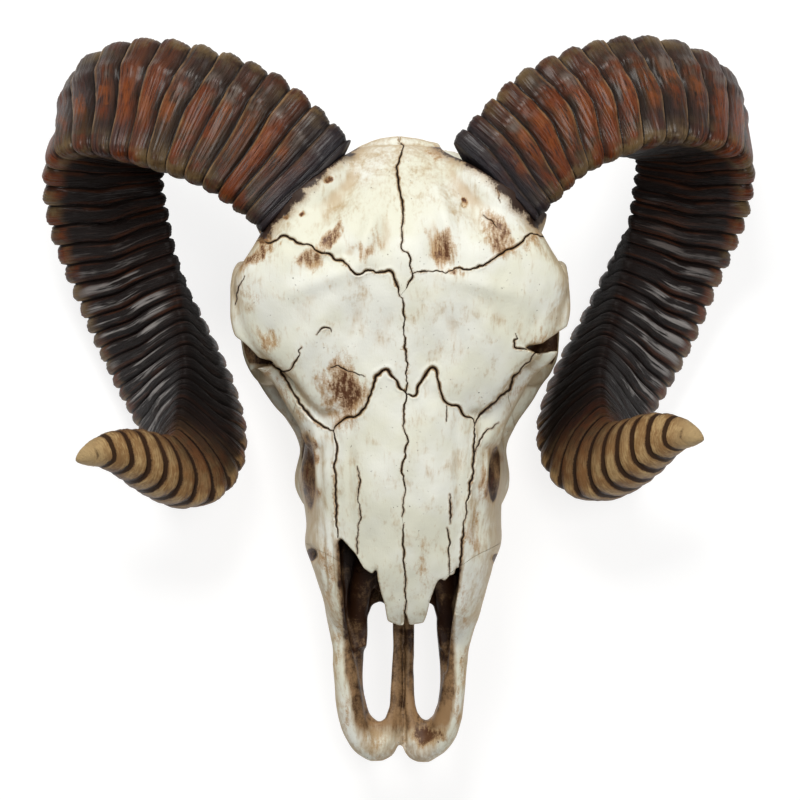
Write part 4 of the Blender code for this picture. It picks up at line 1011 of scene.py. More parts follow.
for stations, side in ((HORN_LEFT, -1.0), (HORN_RIGHT, 1.0)):
    cut(skull, horn_seat(stations, side))
print("seated skull of", triangles_in(skull), "triangles")

# %% [markdown]
# ## Parting the bones
# The skull is one lump so far. Thin walls along the same suture lines part it into its bones,
# as the solid model is parted, so that each bone is a closed piece of its own. A ribbon is a
# wall about 0.1 mm thick that follows a line in plan between two heights.

# %% Ribbon
GAP = 0.12
OVERRUN = 0.5


def ribbon(name, line, low, high):
    """Upright wall along (x, y) points between heights, which may differ by point."""
    points = np.array(line, float)
    points[0] += (points[0] - points[1]) / np.linalg.norm(points[0] - points[1]) * OVERRUN
    points[-1] += (points[-1] - points[-2]) / np.linalg.norm(points[-1] - points[-2]) * OVERRUN
    steps = np.diff(points, axis=0)
    steps /= np.linalg.norm(steps, axis=1)[:, None]
    before, after = np.vstack([steps[:1], steps]), np.vstack([steps, steps[-1:]])
    aside = (before + after)[:, ::-1] * (-1.0, 1.0)
    aside /= np.linalg.norm(aside, axis=1)[:, None]
    share = (aside * after[:, ::-1] * (-1.0, 1.0)).sum(axis=1)
    aside *= (GAP / 2 / np.maximum(0.5, share))[:, None]
    low, high = (np.broadcast_to(h, len(points)) for h in (low, high))
    corners = ((aside, low), (aside, high), (-aside, high), (-aside, low))
    return rolled(name, np.stack([np.column_stack([points + shift, z]) for shift, z in corners],
                                 axis=1))

# %% Sheet under the roof
def roof_floor_z(x, y):
    """Height of the thin sheet under the roof bones."""
    middle = np.interp(y, (-100.0, -80.0, -60.0, -40.0, -20.0, 0.0, 20.0, 40.0, 60.0, 80.0),
                       (-21.0, -14.5, -8.5, -4.2, -1.8, 0.2, 3.0, 7.0, 8.0, 1.0)) - 9.0
    edge = np.interp(np.abs(x), (0.0, 25.0, 48.0, 100.0), (0.0, 0.0, 1.0, 1.0))
    return middle * (1 - edge) - 28.0 * edge


def line_of(*names):
    """Wandering points of these lines, in a row, thinned for a wall."""
    keys = list(CRACKS)
    pieces = []
    for name in names:
        points = CRACKS[name][2]
        pieces += [grown(keys.index(name), points)[0][::3], points[-1:]]
    line = np.concatenate(pieces)
    apart = np.linalg.norm(np.diff(line, axis=0), axis=1) > 0.1
    return line[np.concatenate([[True], apart])]


def reach_at(boundary, y):
    """How far out the sheet has to run at y to pass a side boundary."""
    run = np.linspace(0, len(boundary) - 1, 4000)
    x, along = (np.interp(run, np.arange(len(boundary)), boundary[:, i]) for i in (0, 1))
    return np.abs(x[np.abs(along - np.clip(y, along.min(), along.max())) < 1.3]).max() + 0.5


def sheet(name, rows):
    """Thin sheet at the roof floor's height over rows of (y, left reach, right reach)."""
    rings = []
    for y, left, right in rows:
        x = np.clip(np.linspace(-101.0, 101.0, 41), -left, right)
        top = np.stack([x, y + 0 * x, roof_floor_z(x, y) + GAP / 2], axis=1)
        rings.append(np.concatenate([top, (top - (0.0, 0.0, GAP))[::-1]]))
    return rolled(name, np.array(rings))

# %% [markdown]
# The front of the roof bones needs care. Each wall must leave the bone through open air at both
# ends, or cross the next wall, or a thin neck is left and two bones stay joined. The sheet
# under the roof therefore takes its reach from the side walls' own points.

# %% Lines of the walls
tear = {-1.0: np.concatenate([[(-100.0, 16.0)], line_of("tear_left")[::-1]]),
        1.0: np.concatenate([[(100.0, 20.5)], line_of("tear_right")[::-1]])}
nose_side = {-1.0: np.concatenate([line_of("nose_side_left"), NASAL_TIP[-1.0][1:4]]),
             1.0: np.concatenate([line_of("nose_side_right"), [(22.6, -81.5), (21.0, -84.0)]])}
edges = {side: np.concatenate([tear[side], nose_side[side]]) for side in tear}
coronal = np.concatenate([[(-100.0, 70.0)], line_of("coronal_left"), [(1.5, 44.8), (3.0, 48.0)],
                          line_of("coronal_right"), [(100.0, 70.0)]])
crown = np.concatenate([line_of("crown")[:-10], [(4.0, 50.5)]])
forehead = line_of("forehead")
nose_middle = np.concatenate([line_of("nose_middle", "nose_tip"), [(1.2, -107.0)]])
sheet_rows = [(73.0, 100.0, 100.0), (55.0, 100.0, 100.0), (36.0, 100.0, 100.0),
              (21.0, 100.0, 100.0)]
sheet_rows += [(y, reach_at(edges[-1.0], y), reach_at(edges[1.0], y))
               for y in np.arange(19.5, -86.0, -1.5)]

# %% Walls across the roof and down the middle
walls = [
    ribbon("coronal", coronal, -50.15, 30.0),
    slab("crown_floor", [*coronal, (100.0, 125.0), (-100.0, 125.0)], -50.0 - GAP, -50.0),
    ribbon("crown", crown, -50.15, 30.0),
    sheet("roof_floor", sheet_rows),
    ribbon("forehead", forehead, roof_floor_z(0.0, forehead[:, 1]) - 0.6, 30.0),
    ribbon("nose_middle", nose_middle, roof_floor_z(0.0, nose_middle[:, 1]) - 2.0, 30.0),
    ribbon("nose_root", line_of("nose_root_left", "nose_root_right"), -17.0, 30.0),
    ribbon("nose_side_left", nose_side[-1.0], -26.0, 30.0),
    ribbon("nose_side_right", nose_side[1.0], -27.0, 30.0),
    slab("jaw_middle", [(9.0, -140.0), (-175.0, -140.0), (-175.0, -30.0), (-84.0, -30.0),
                        (-80.0, -23.4), (-60.0, -17.4), (-40.0, -13.1), (-20.0, -10.7),
                        (0.0, -8.7), (9.0, -7.6)], -GAP / 2, GAP / 2, lie="UPRIGHT"),
    ribbon("back_of_palate", ((-46.5, 9.0), (46.5, 9.0)), -140.0, -7.55)]

# %% Walls at the sides
CHEEK_END = {-1.0: (-46.3, -2.3), 1.0: (46.25, -2.05)}
CHEEK_BACK = {-1.0: ((-46.6, -6.5, -21.0), (-45.2, 20.0, -21.0)),
              1.0: ((46.6, -6.5, -21.0), (46.42, -3.1, -21.0), (46.41, -3.0, 5.0),
                    (46.2, 1.5, 5.0), (46.19, 1.6, -21.0), (45.2, 20.0, -21.0))}
for side in (-1.0, 1.0):
    walls += [
        ribbon("tear", tear[side], -28.6, 30.0),
        ribbon("nose_front_side", sided(side, ((55.0, -62.0), (32.0, -72.0), (20.0, -80.0))),
               -140.0, 0.0),
        ribbon("nose_front", sided(side, ((20.6, -79.5), (0.0, -84.0))), -140.0, -24.0),
        ribbon("cheek_front", ((side * 53.0, -24.0), CHEEK_END[side]), -100.0, 5.0),
        ribbon("cheek_back", np.array(CHEEK_BACK[side])[:, :2], -100.0,
               np.array(CHEEK_BACK[side])[:, 2]),
        ribbon("arch", sided(side, ((46.0, 61.0), (95.0, 61.0))), -100.0, -52.0)]

# %% Part the skull
JAW_LEAN = 0.08
for wall in walls:
    if wall.name.startswith("jaw_middle"):
        leaning = points_of(wall)
        leaning[:, 0] += JAW_LEAN * (leaning[:, 2] + 58.0)
        set_points(wall, leaning)
    cut(skull, wall)
only(skull)
bpy.ops.object.mode_set(mode="EDIT")
bpy.ops.mesh.separate(type="LOOSE")
bpy.ops.object.mode_set(mode="OBJECT")
loose = sorted(bpy.context.selected_objects, key=triangles_in, reverse=True)

# %% [markdown]
# ## Naming the bones
# Each loose piece is named by the spot that it lies nearest to, and takes the place of that
# bone in the solid model. Crumbs that the walls cut off at crossings are thrown away.

# %% Name the bones
BONE_SPOTS = {"braincase": (0.0, 60.0, -96.0)}
for side, word in ((-1.0, "left"), (1.0, "right")):
    for name, (x, y, z) in (("parietal", (34.0, 82.0, 0.0)), ("frontal", (34.0, 30.0, 4.0)),
                            ("nasal", (14.0, -45.0, -6.0)), ("zygomatic", (68.0, 20.0, -62.0)),
                            ("maxilla", (46.0, -34.0, -58.0)),
                            ("premaxilla", (24.0, -118.0, -45.0))):
        BONE_SPOTS[f"{name}_{word}"] = (side * x, y, z)

bones = {}
clouds = {piece: points_of(piece) for piece in loose if triangles_in(piece) > 1000}
for piece in loose:
    if piece not in clouds:
        bpy.data.objects.remove(piece)
for name, spot in BONE_SPOTS.items():
    nearest = min(clouds, key=lambda piece: ((clouds[piece] - spot) ** 2).sum(axis=1).min())
    bones.setdefault(nearest, []).append(name)
for piece in [piece for piece in clouds if piece not in bones]:
    middle = clouds[piece].mean(axis=0)
    host = min(bones, key=lambda bone: ((clouds[bone] - middle) ** 2).sum(axis=1).min())
    print("splinter of", triangles_in(piece), "triangles goes with", bones[host])
    joined(host.name, [host, piece])
for piece, names in bones.items():
    piece.name = names[0] + "_bone"
    print(piece.name, triangles_in(piece), names)

# %% [markdown]
# ## What the paint needs to know
# Hollows are painted browner, part dirt and part painted shade, and spots that see little sky
# are painted darker as painted shade. Brown paint bleeds out of the cracks and from under the
# horns, and stains lie where the skull was rubbed. A shader can't measure any of that, so each
# point keeps it as numbers: how deep it lies in a hollow, how much sky it sees, how far it is
# from a crack and from a horn, and how stained it is. The shader then makes the edges ragged
# with noise.

# %% Stains: x, y, half width, half length, turn in degrees, strength
# The wide faint ovals at (-13, 27) and (20, 20) are painted shade over the hollows of the forehead,
# and the dark ovals over the pits of the cheeks are part stain, part painted shade.
STAINS = (
    (-31.5, 67.5, 3.4, 9.5, -42.0, 0.9), (-40.5, 58.0, 7.5, 5.5, 0.0, 0.8),
    (-17.5, 60.0, 2.6, 5.5, -30.0, 0.75), (-11.0, 65.5, 3.5, 3.5, 0.0, 0.45),
    (-64.0, 60.5, 3.6, 11.0, -55.0, 0.95), (-26.0, 1.5, 9.5, 17.0, 8.0, 1.0),
    (-60.0, 22.0, 4.5, 8.0, 15.0, 0.6), (16.5, 61.5, 7.2, 9.0, 20.0, 0.95),
    (41.0, 69.5, 6.5, 10.5, 25.0, 0.85), (14.0, 106.5, 3.6, 5.0, 20.0, 0.7),
    (8.5, -75.0, 3.6, 15.0, 0.0, 0.40), (31.5, -61.0, 3.0, 11.5, 4.0, 0.62),
    (-33.0, -78.0, 3.0, 18.0, 2.0, 0.62), (39.8, -36.0, 3.6, 13.5, -3.0, 0.9),
    (34.5, -40.0, 1.8, 8.0, 0.0, 0.7), (-41.8, -35.0, 4.2, 19.5, 3.0, 1.0),
    (-40.5, -72.0, 3.0, 3.6, 0.0, 1.4), (41.5, -74.0, 2.4, 2.8, 0.0, 1.3),
    (11.5, -153.5, 8.5, 6.5, 0.0, 1.15), (27.0, -122.0, 2.4, 15.0, 0.0, 0.5),
    (-32.5, 93.5, 1.8, 1.8, 0.0, 1.3), (27.0, 83.5, 1.7, 1.7, 0.0, 1.3),
    (-51.0, 77.0, 1.4, 1.4, 0.0, 1.2), (-43.5, 78.0, 1.3, 1.3, 0.0, 1.2),
    (-59.5, 67.5, 2.6, 2.6, 0.0, 1.4), (57.0, 66.0, 6.0, 4.0, 20.0, 0.6),
    (-20.0, 64.0, 5.0, 2.0, -20.0, 0.4), (60.0, 24.0, 4.0, 7.0, -15.0, 0.5),
    (-26.0, -95.0, 1.6, 10.0, 0.0, 0.5), (2.0, -14.0, 2.0, 4.0, 0.0, 0.3),
    (-29.0, -112.0, 2.0, 22.0, -4.0, 0.45), (-25.0, -142.0, 2.2, 12.0, 0.0, 0.5),
    (27.5, -100.0, 2.0, 22.0, 3.0, 0.42), (24.0, -141.0, 2.2, 13.0, 0.0, 0.5),
    (-13.0, 27.0, 8.0, 12.0, 0.0, 0.22), (20.0, 20.0, 7.0, 12.0, -10.0, 0.18),
    (23.0, 51.0, 3.2, 2.0, 10.0, 0.8), (-34.5, 4.0, 3.0, 12.0, 5.0, 0.5),
    (-67.0, 42.0, 3.0, 9.0, 0.0, 0.35), (-12.0, -154.0, 7.0, 6.0, 0.0, 0.55),
    (-52.0, 1.0, 3.2, 9.0, 39.0, 0.5), (-46.0, -8.0, 3.0, 6.0, 39.0, 0.45),
    (52.0, 3.0, 3.0, 9.0, -39.0, 0.45), (-60.5, 9.5, 3.0, 2.0, 30.0, 0.6))

# %% Pits of the cheeks: as above; edge of the nose's dirt and painted shade: y, then x to the left and right
RECESSES = ((-42.0, -35.0, 3.2, 17.0, 3.0), (40.4, -36.0, 2.6, 12.5, -3.0),
            (-40.5, -72.0, 2.3, 3.0, 0.0), (41.5, -74.0, 1.8, 2.3, 0.0))
DIRT_AND_SHADE_EDGE = ((-166.0, -12.0, 10.0), (-160.0, -17.0, 14.0), (-154.6, -20.0, 18.5),
             (-144.3, -21.2, 21.0), (-133.2, -22.8, 22.4), (-124.7, -25.0, 22.4),
             (-107.7, -25.5, 22.0), (-93.8, -26.8, 21.5), (-84.0, -28.3, 24.5),
             (-76.0, -28.6, 25.2), (-66.0, -29.0, 25.6))

# %% [markdown]
# ## Hollows and open sky
# A point lies in a hollow when it is below the mean of the points around it. It lies in the
# shade when most rays that leave it meet the skull again. Rays are dear, so only some points
# send them out, and every point then takes the mean of its three nearest ones.

# %% Hollows and open sky
RAYS = [Vector(v).normalized() for v in (
    (0, 0, 1), (1, 0, 1), (-1, 0, 1), (0, 1, 1), (0, -1, 1), (1, 1, 0.4), (-1, 1, 0.4),
    (1, -1, 0.4), (-1, -1, 0.4), (1, 0, 0), (-1, 0, 0), (0, 1, 0), (0, -1, 0), (1, 1, 2),
    (-1, 1, 2), (1, -1, 2), (-1, -1, 2), (1, 0, -1), (-1, 0, -1), (0, 1, -1), (0, -1, -1))]
RAY_START, RAY_LENGTH = 0.8, 90.0
RAY_SPOTS = 1800
HOLLOW_ROUNDS = 40


def edges_of(obj):
    """Pairs of points that share an edge."""
    flat = np.empty(len(obj.data.edges) * 2, np.int32)
    obj.data.edges.foreach_get("vertices", flat)
    return flat.reshape(-1, 2)


def neighbour_mean(edges, values, rounds):
    """Average each point with its neighbours, again and again."""
    count = np.bincount(edges.ravel(), minlength=len(values)) + 1.0
    for _ in range(rounds):
        total = values.copy()
        for axis in range(values.shape[1]):
            total[:, axis] += np.bincount(edges[:, 0], values[edges[:, 1], axis], len(values))
            total[:, axis] += np.bincount(edges[:, 1], values[edges[:, 0], axis], len(values))
        values = total / count[:, None]
    return values


def sky_seen(spot, normal):
    """Share of the rays from a spot that leave the skull."""
    hits = tries = 0
    for direction in RAYS:
        if direction.dot(normal) > 0.15:
            tries += 1
            start = spot + normal * RAY_START
            hits += shade_tree.ray_cast(start, direction, RAY_LENGTH)[0] is not None
    return 1 - hits / max(1, tries)


def open_sky(spots, facing):
    """Sky seen from each spot, as the mean of the nearest spots that sent out rays."""
    picks = np.arange(0, len(spots), max(1, len(spots) // RAY_SPOTS))
    sky = [sky_seen(Vector(spots[i]), Vector(facing[i])) for i in picks]
    near = tree_of(spots[picks])
    return np.array([sum(sky[k] for _, k, _ in near.find_n(spot, 3)) / 3 for spot in spots])

# %% [markdown]
# ## Stains and seeping paint
# A stain is a soft oval whose edge is torn by shifting each spot a little before it is tested.
# Brown paint seeps from under the horns: its depth on the bone is the distance to the horn's
# root, or to the straight line where the root meets the forehead.

# %% Stains and seeping paint
NO_SEEP = 30.0
roots = tree_of(np.concatenate([points_of(horns[word][0])[::7] for word in ("left", "right")]))


def stains_on(x, y):
    """How stained each spot is."""
    torn_x = x + 1.9 * ripple(71, x / 2.6, y / 3.4) + 0.9 * ripple(72, x / 0.9, y / 1.6)
    torn_y = y + 2.4 * ripple(73, x / 2.2, y / 3.8) + 1.2 * ripple(74, x / 0.9, y / 1.8)
    stain = np.zeros(len(x))
    for blob in STAINS:
        tear_size = min(1.0, blob[2] / 3.0)
        spread = oval(x + (torn_x - x) * tear_size, y + (torn_y - y) * tear_size, blob)
        stain = np.maximum(stain, blob[5] * soft_step(1.45, 0.3, spread))
    return stain


def seep_from_horns(spots):
    """Distance of each spot from the horns, as the seeping paint runs."""
    x, y, z = spots.T
    seep = np.full(len(spots), NO_SEEP)
    for i in np.nonzero((y > 40.0) & (np.abs(x) > 12.0))[0]:
        seep[i] = min(NO_SEEP, roots.find(spots[i])[2])
    for side, ((ax, ay), (bx, by)) in ROOT_LINE.items():
        reach = math.hypot(bx - ax, by - ay) * side
        within = ((y - ay) * (ax - bx) + (x - ax) * (by - ay)) / reach
        near_line = (side * x > 10.0) & (y > 60.0) & (z > -40.0)
        seep = np.where(near_line, np.minimum(seep, 3.4 + within), seep)
    return seep

# %% [markdown]
# ## Dirt and painted shade in the openings
# The nose, the eye sockets and the pits of the cheeks are dark inside: brown dirt in the nose
# and the pits, and painted shade in all of them, darker deeper in. Each opening gets a mask of
# where its dark paint lies, and all are laid over each other. A second mask says how dark it is.

# %% Dirt and painted shade in the openings
SOCKET_MIDDLE = (60.0, 30.0, -38.0)
SOCKET_REACH = (14.0, 22.5, 22.5)


def nose_dirt_and_shade(x, y):
    """Brown dirt inside the nose opening, and how dark it is, darker deeper in as painted shade;
    the bar in the middle is lighter.
    """
    left, right = (np.interp(y, *np.array(DIRT_AND_SHADE_EDGE)[:, (0, k)].T) for k in (1, 2))
    inside = soft_step(-2.6, 1.2, np.minimum(x - left, right - x)) * soft_step(-62.0, -68.0, y)
    inside = inside * (0.30 + 0.70 * soft_step(-155.0, -145.0, y))
    lighter = soft_step(7.0, 5.0, np.abs(x)) * soft_step(-98.0, -104.0, y)
    return inside, soft_step(-160.0, -100.0, y) * (1 - 0.7 * lighter)


def recess_dirt_and_shade(recess, spots, facing):
    """Dirt and painted shade in a pit of the cheek."""
    x, y, z = spots.T
    hole = soft_step(1.2, 0.8, oval(x, y, recess)) * soft_step(0.0, 0.2, facing[:, 2])
    return hole * soft_step(-72.0, -66.0, z)


def socket_shade(side, spots, facing):
    """Painted shade on the walls of an eye socket and in the gap at its front."""
    x, y, z = spots.T
    middle = np.array((side * SOCKET_MIDDLE[0], *SOCKET_MIDDLE[1:]))
    across, ahead, up = ((spots - middle) / SOCKET_REACH).T
    reach = np.sqrt(across ** 2 * (side * x < SOCKET_MIDDLE[0]) + ahead ** 2 + up ** 2)
    socket = soft_step(1.08, 0.98, reach) * (side * x > 20)
    gap_y = 17.0 if side < 0 else 22.5
    gap = soft_step(7.0, 5.0, np.abs(y - gap_y)) * soft_step(-30.0, -36.0, z)
    gap = gap * (side * x > 50) * soft_step(-66.0, -60.0, z)
    into = ((middle - spots) * facing).sum(axis=1)
    return np.maximum(socket, gap) * soft_step(-2.0, 4.0, into) * soft_step(11.0, 14.0, y)


def dirt_and_shade_in_openings(spots, facing):
    """Masks of all the dirt and painted shade in the openings, and of how dark it is."""
    inside, deep = nose_dirt_and_shade(spots[:, 0], spots[:, 1])
    for recess in RECESSES:
        hole = recess_dirt_and_shade(recess, spots, facing)
        inside, deep = np.maximum(inside, hole), np.maximum(deep, 0.9 * hole)
    for side in (-1.0, 1.0):
        socket = socket_shade(side, spots, facing)
        inside, deep = np.maximum(inside, socket), np.maximum(deep, 0.7 * socket)
    return inside, deep

# %% [markdown]
# ## Measuring the bones
# Each bone is measured in turn, and each fact is stored on its points under a short name, which
# the paint reads. The roof of the nose bones hides the opening, so only their underside takes
# the opening's dirt and painted shade.

# %% Measure the bones for their paint
for bone in bones:
    spots, facing = points_of(bone), normals_of(bone)
    x, y, z = spots.T
    up = facing[:, 2]
    smooth = neighbour_mean(edges_of(bone), spots, HOLLOW_ROUNDS)
    sky = open_sky(spots, facing)
    far, width, _ = line_nearness(spots, np.where(z > -40.0, up + 0.6, 0.0))
    stain = stains_on(x, y) * (soft_step(-0.3, 0.1, up) * soft_step(-70.0, -60.0, z))
    inside, deep = dirt_and_shade_in_openings(spots, facing)
    if "nasal" in bone.name:
        inside = inside * soft_step(-0.1, -0.5, up)
    facts = {"hollow": ((smooth - spots) * facing).sum(axis=1), "sky": sky,
             "crack_far": np.minimum(far, 20), "crack_wide": width, "stain": stain,
             "seep": seep_from_horns(spots), "inside": inside, "deep": deep, "steep": 1 - up}
    for word, values in facts.items():
        keep_value(bone, word, values)
    print(bone.name, len(spots), "points, sky", round(float(sky.mean()), 2))

# %% [markdown]
# ## Shader arithmetic
# Long chains of nodes are hard to read as calls, so a small class wraps a node's output and
# lends it plus, minus and times. Writing `1 - mask` then makes a Math node. The Mix node has
# sockets of one name for numbers, vectors and colours, so those for colours go by their place.

# %% Shader helpers
MIX_UNDER, MIX_OVER, MIX_RESULT = 6, 7, 2


class Value:
    """A shader output that takes part in arithmetic."""

    def __init__(self, paint, socket):
        self.paint = paint
        self.socket = socket

    def math(self, operation, first, second):
        """Output of a Math node."""
        return self.paint.node("ShaderNodeMath", {0: first, 1: second}, operation=operation)

    def __add__(self, other):
        return self.math("ADD", self, other)

    __radd__ = __add__

    def __sub__(self, other):
        return self.math("SUBTRACT", self, other)

    def __rsub__(self, other):
        return self.math("SUBTRACT", other, self)

    def __mul__(self, other):
        return self.math("MULTIPLY", self, other)

    __rmul__ = __mul__

    def between(self, low, high):
        """0 below low, 1 above high, soft in between; low above high turns it round."""
        if low > high:
            return 1 - self.between(high, low)
        return self.paint.node("ShaderNodeMapRange", {"Value": self, "From Min": low,
                                                      "From Max": high},
                               interpolation_type="SMOOTHSTEP")


class Paint:
    """A Principled material under construction."""

    def __init__(self, name):
        self.material = bpy.data.materials.new(name)
        self.material.use_nodes = True
        self.shader = self.material.node_tree.nodes["Principled BSDF"]

    def node(self, kind, inputs, output=0, **settings):
        """Add a node, fill its inputs and return one of its outputs."""
        made = self.material.node_tree.nodes.new(kind)
        for key, value in settings.items():
            setattr(made, key, value)
        for key, value in inputs.items():
            self.put(made.inputs[key], value)
        return Value(self, made.outputs[output])

    def put(self, socket, value):
        """Link a shader output into a socket, or set a plain value there."""
        if isinstance(value, Value):
            self.material.node_tree.links.new(value.socket, socket)
        elif isinstance(value, tuple) and socket.type == "RGBA":
            socket.default_value = (*value, 1.0)
        else:
            socket.default_value = value

    def fact(self, name, output="Fac"):
        """A number or a vector that the piece's points keep under this name."""
        return self.node("ShaderNodeAttribute", {}, output, attribute_name=name)

    def millimetres(self, stretch=(1.0, 1.0, 1.0)):
        """The piece's own coordinates in millimetres, squeezed along each axis."""
        own = self.node("ShaderNodeTexCoord", {}, "Object")
        return self.node("ShaderNodeMapping", {"Vector": own, "Scale": tuple(
            1000.0 * s for s in stretch)}, vector_type="POINT")

    def noise(self, where, size, detail=4.0, rough=0.55, warp=0.0):
        """Noise between about 0.25 and 0.75, with features of this size."""
        return self.node("ShaderNodeTexNoise", {"Vector": where, "Scale": 1.0 / size,
                                                "Detail": detail, "Roughness": rough,
                                                "Distortion": warp})

    def mix(self, under, over, share):
        """One colour laid over another, by a share from 0 to 1."""
        return self.node("ShaderNodeMix", {"Factor": share, MIX_UNDER: under, MIX_OVER: over},
                         MIX_RESULT, data_type="RGBA", clamp_factor=True)

    def bump(self, height, depth, under=None):
        """Normals tilted by a height, which is this many millimetres deep."""
        inputs = {"Height": height, "Distance": depth * 0.001, "Strength": 1.0}
        if under is not None:
            inputs["Normal"] = under
        return self.node("ShaderNodeBump", inputs)

    def finish(self, **inputs):
        """Fill the shader's inputs, with an underscore for each space in their names."""
        for name, value in inputs.items():
            self.put(self.shader.inputs[name.replace("_", " ")], value)
        return self.material

# %% [markdown]
# ## Bone paint
# Dry bone is ivory with paler patches and straw-yellow ones. It is browner in the hollows, part
# dirt and part painted shade, and darker as painted shade where it sees little sky, in deep
# pits and on its steep sides. Over it lies thin brown paint: dark in the cracks, wiped to a halo
# beside them, mottled in the stains, and nearly black under the horns. Inside the openings it is
# brown, darker as painted shade deeper in. Fine streaks follow the length of the skull, and small
# specks are scattered about.

# %% Colours and noises of the bone
IVORY, CHALK, STRAW = (0.82, 0.815, 0.68), (0.88, 0.885, 0.81), (0.70, 0.585, 0.40)
# Brown of the hollows, part dirt and part painted shade; brown of painted shade where little sky is
# seen; near black painted shade of the deepest pits.
HOLLOW_DIRT_AND_SHADE, SHADE_BROWN, PIT_SHADE_BROWN = (0.52, 0.36, 0.19), (0.42, 0.27, 0.13), (0.055, 0.028, 0.014)
# Tan of painted shade on steep faces, and tan at the edges of the openings.
SIDE_SHADE_TAN, EDGE_TAN = (0.52, 0.38, 0.20), (0.46, 0.31, 0.16)
STAIN_LIGHT, STAIN_RED = (0.46, 0.25, 0.085), (0.135, 0.042, 0.014)
STAIN_DARK = (0.085, 0.028, 0.012)
# Brown inside the openings, and the near black of painted shade deeper in.
INSIDE_TAN, INSIDE_SHADE_DARK = (0.34, 0.205, 0.10), (0.036, 0.013, 0.005)
HALO_BROWN, SPECK_BROWN = (0.38, 0.23, 0.11), (0.11, 0.055, 0.028)
LINE_BLACK = (0.022, 0.010, 0.006)
SEEP_BROWN, SEEP_BLACK = (0.34, 0.20, 0.09), (0.030, 0.014, 0.010)


def bone_noises(p):
    """Noises that the layers of the bone share, kept on the paint."""
    p.at = p.millimetres()
    p.broad, p.patch = p.noise(p.at, 34.0, 3.0), p.noise(p.at, 9.0, 5.0, warp=0.6)
    p.streak = p.noise(p.millimetres((1.0, 0.16, 1.0)), 1.6, 5.0, 0.65)
    p.fine = p.noise(p.at, 0.9, 4.0, 0.7)
    p.sky = p.fact("sky")

# %% Dry bone
def dry_bone(p):
    """Ivory; browner in hollows as dirt and painted shade; painted shade where little sky is seen,
    in deep pits and on steep faces.
    """
    patch, streak = p.patch - 0.5, p.streak - 0.5
    colour = p.mix(IVORY, CHALK, p.broad.between(0.38, 0.62))
    colour = p.mix(colour, STRAW,
                   p.patch.between(0.52, 0.78) * 0.24 + p.streak.between(0.57, 0.80) * 0.13)
    # Browner in the hollows: part dirt, part painted shade.
    hollow_dirt_shade = (p.fact("hollow") + patch * 0.6 + streak * 0.5).between(0.02, 0.70)
    colour = p.mix(colour, HOLLOW_DIRT_AND_SHADE, hollow_dirt_shade * 0.7)
    # Painted shade where little sky is seen.
    shade = (p.sky + patch * 0.5 + streak * 0.3).between(0.74, 0.25)
    colour = p.mix(colour, SHADE_BROWN, shade * 0.75)
    # Near black painted shade in the deepest pits.
    pits = (p.sky + patch * 0.2).between(0.34, 0.12)
    colour = p.mix(colour, PIT_SHADE_BROWN, pits * 0.9)
    # Painted shade on steep faces that turn away from the top.
    sides = (p.fact("steep") + patch * 0.8 + streak * 0.9).between(0.06, 0.75)
    return p.mix(colour, SIDE_SHADE_TAN, sides * 0.82)

# %% Stains, dirt and painted shade
def stained_bone(p, colour):
    """Blots of brown paint, and brown paint inside the openings that darkens as painted shade; also
    returns the blots.
    """
    patch, streak, fine = p.patch - 0.5, p.streak - 0.5, p.fine - 0.5
    grit = p.noise(p.at, 0.45, 3.0, 0.7) - 0.5
    stain = p.fact("stain")
    blot = stain * 1.1 + patch * 1.0 + fine * 0.9 + streak * 2.0 + grit * 0.6
    stained = blot.between(0.10, 1.0) * stain.between(0.0, 0.45)
    colour = p.mix(colour, STAIN_LIGHT, stained * 0.8)
    colour = p.mix(colour, STAIN_RED, blot.between(0.70, 1.3) * stain.between(0.25, 0.75) * 0.9)
    within = p.fact("inside") + streak * 0.7 + patch * 0.6
    colour = p.mix(colour, EDGE_TAN, within.between(0.02, 0.40) * 0.65)
    # Darker as painted shade deeper in the openings and where little sky is seen.
    dark = p.fact("deep") * 0.36 + patch * 1.5 + p.streak * 0.55 + fine * 0.7 + (1 - p.sky) * 0.4
    brown = p.mix(INSIDE_TAN, INSIDE_SHADE_DARK, dark.between(0.27, 0.92))
    colour = p.mix(colour, brown, within.between(0.30, 0.80))
    soaked = blot.between(0.90, 1.35) * stain.between(0.60, 0.95)
    return p.mix(colour, STAIN_DARK, soaked * 0.85), stained

# %% Lines, seeping paint and specks
def lined_bone(p, colour):
    """Dark lines with a halo, paint from under the horns, and specks; returns all three."""
    patch, streak, fine = p.patch - 0.5, p.streak - 0.5, p.fine - 0.5
    far, wide = p.fact("crack_far"), p.fact("crack_wide")
    halo = (far + patch * 2.6 + fine * 1.4 - wide * 0.2).between(0.75, 0.1)
    colour = p.mix(colour, HALO_BROWN, halo * 0.55)
    core = (far + fine * 0.4 - wide * 0.14).between(0.30, 0.08)
    colour = p.mix(colour, LINE_BLACK, core * 0.98)
    rim = p.fact("seep") + patch * 5.0 + fine * 4.0 + streak * 3.0
    colour = p.mix(colour, SEEP_BROWN, rim.between(8.5, 3.5) * 0.75)
    colour = p.mix(colour, SEEP_BLACK, rim.between(5.2, 3.6) * 0.97)
    specks = p.noise(p.at, 1.1, 2.0, 0.5).between(0.715, 0.745)
    specks = specks * p.noise(p.at, 14.0, 2.0).between(0.46, 0.60)
    return p.mix(colour, SPECK_BROWN, specks * 0.85), core, specks

# %% Bone material
def bone_paint():
    """The layers over each other, nearly matt, with fine grain and pits."""
    p = Paint("bone")
    bone_noises(p)
    colour, stained = stained_bone(p, dry_bone(p))
    colour, core, specks = lined_bone(p, colour)
    rough = 0.52 + (p.fine - 0.5) * 0.25 - stained * 0.08 + core * 0.15
    grain = p.noise(p.millimetres((1.0, 0.3, 1.0)), 0.7, 5.0, 0.7)
    normal = p.bump(grain + p.patch * 0.8, 0.10)
    normal = p.bump(specks * -1.0 + p.noise(p.at, 3.2, 4.0) * 0.8, 0.22, normal)
    return p.finish(Base_Color=colour, Roughness=rough, Normal=normal, Coat_Weight=0.03,
                    Coat_Roughness=0.35, Specular_IOR_Level=0.25)
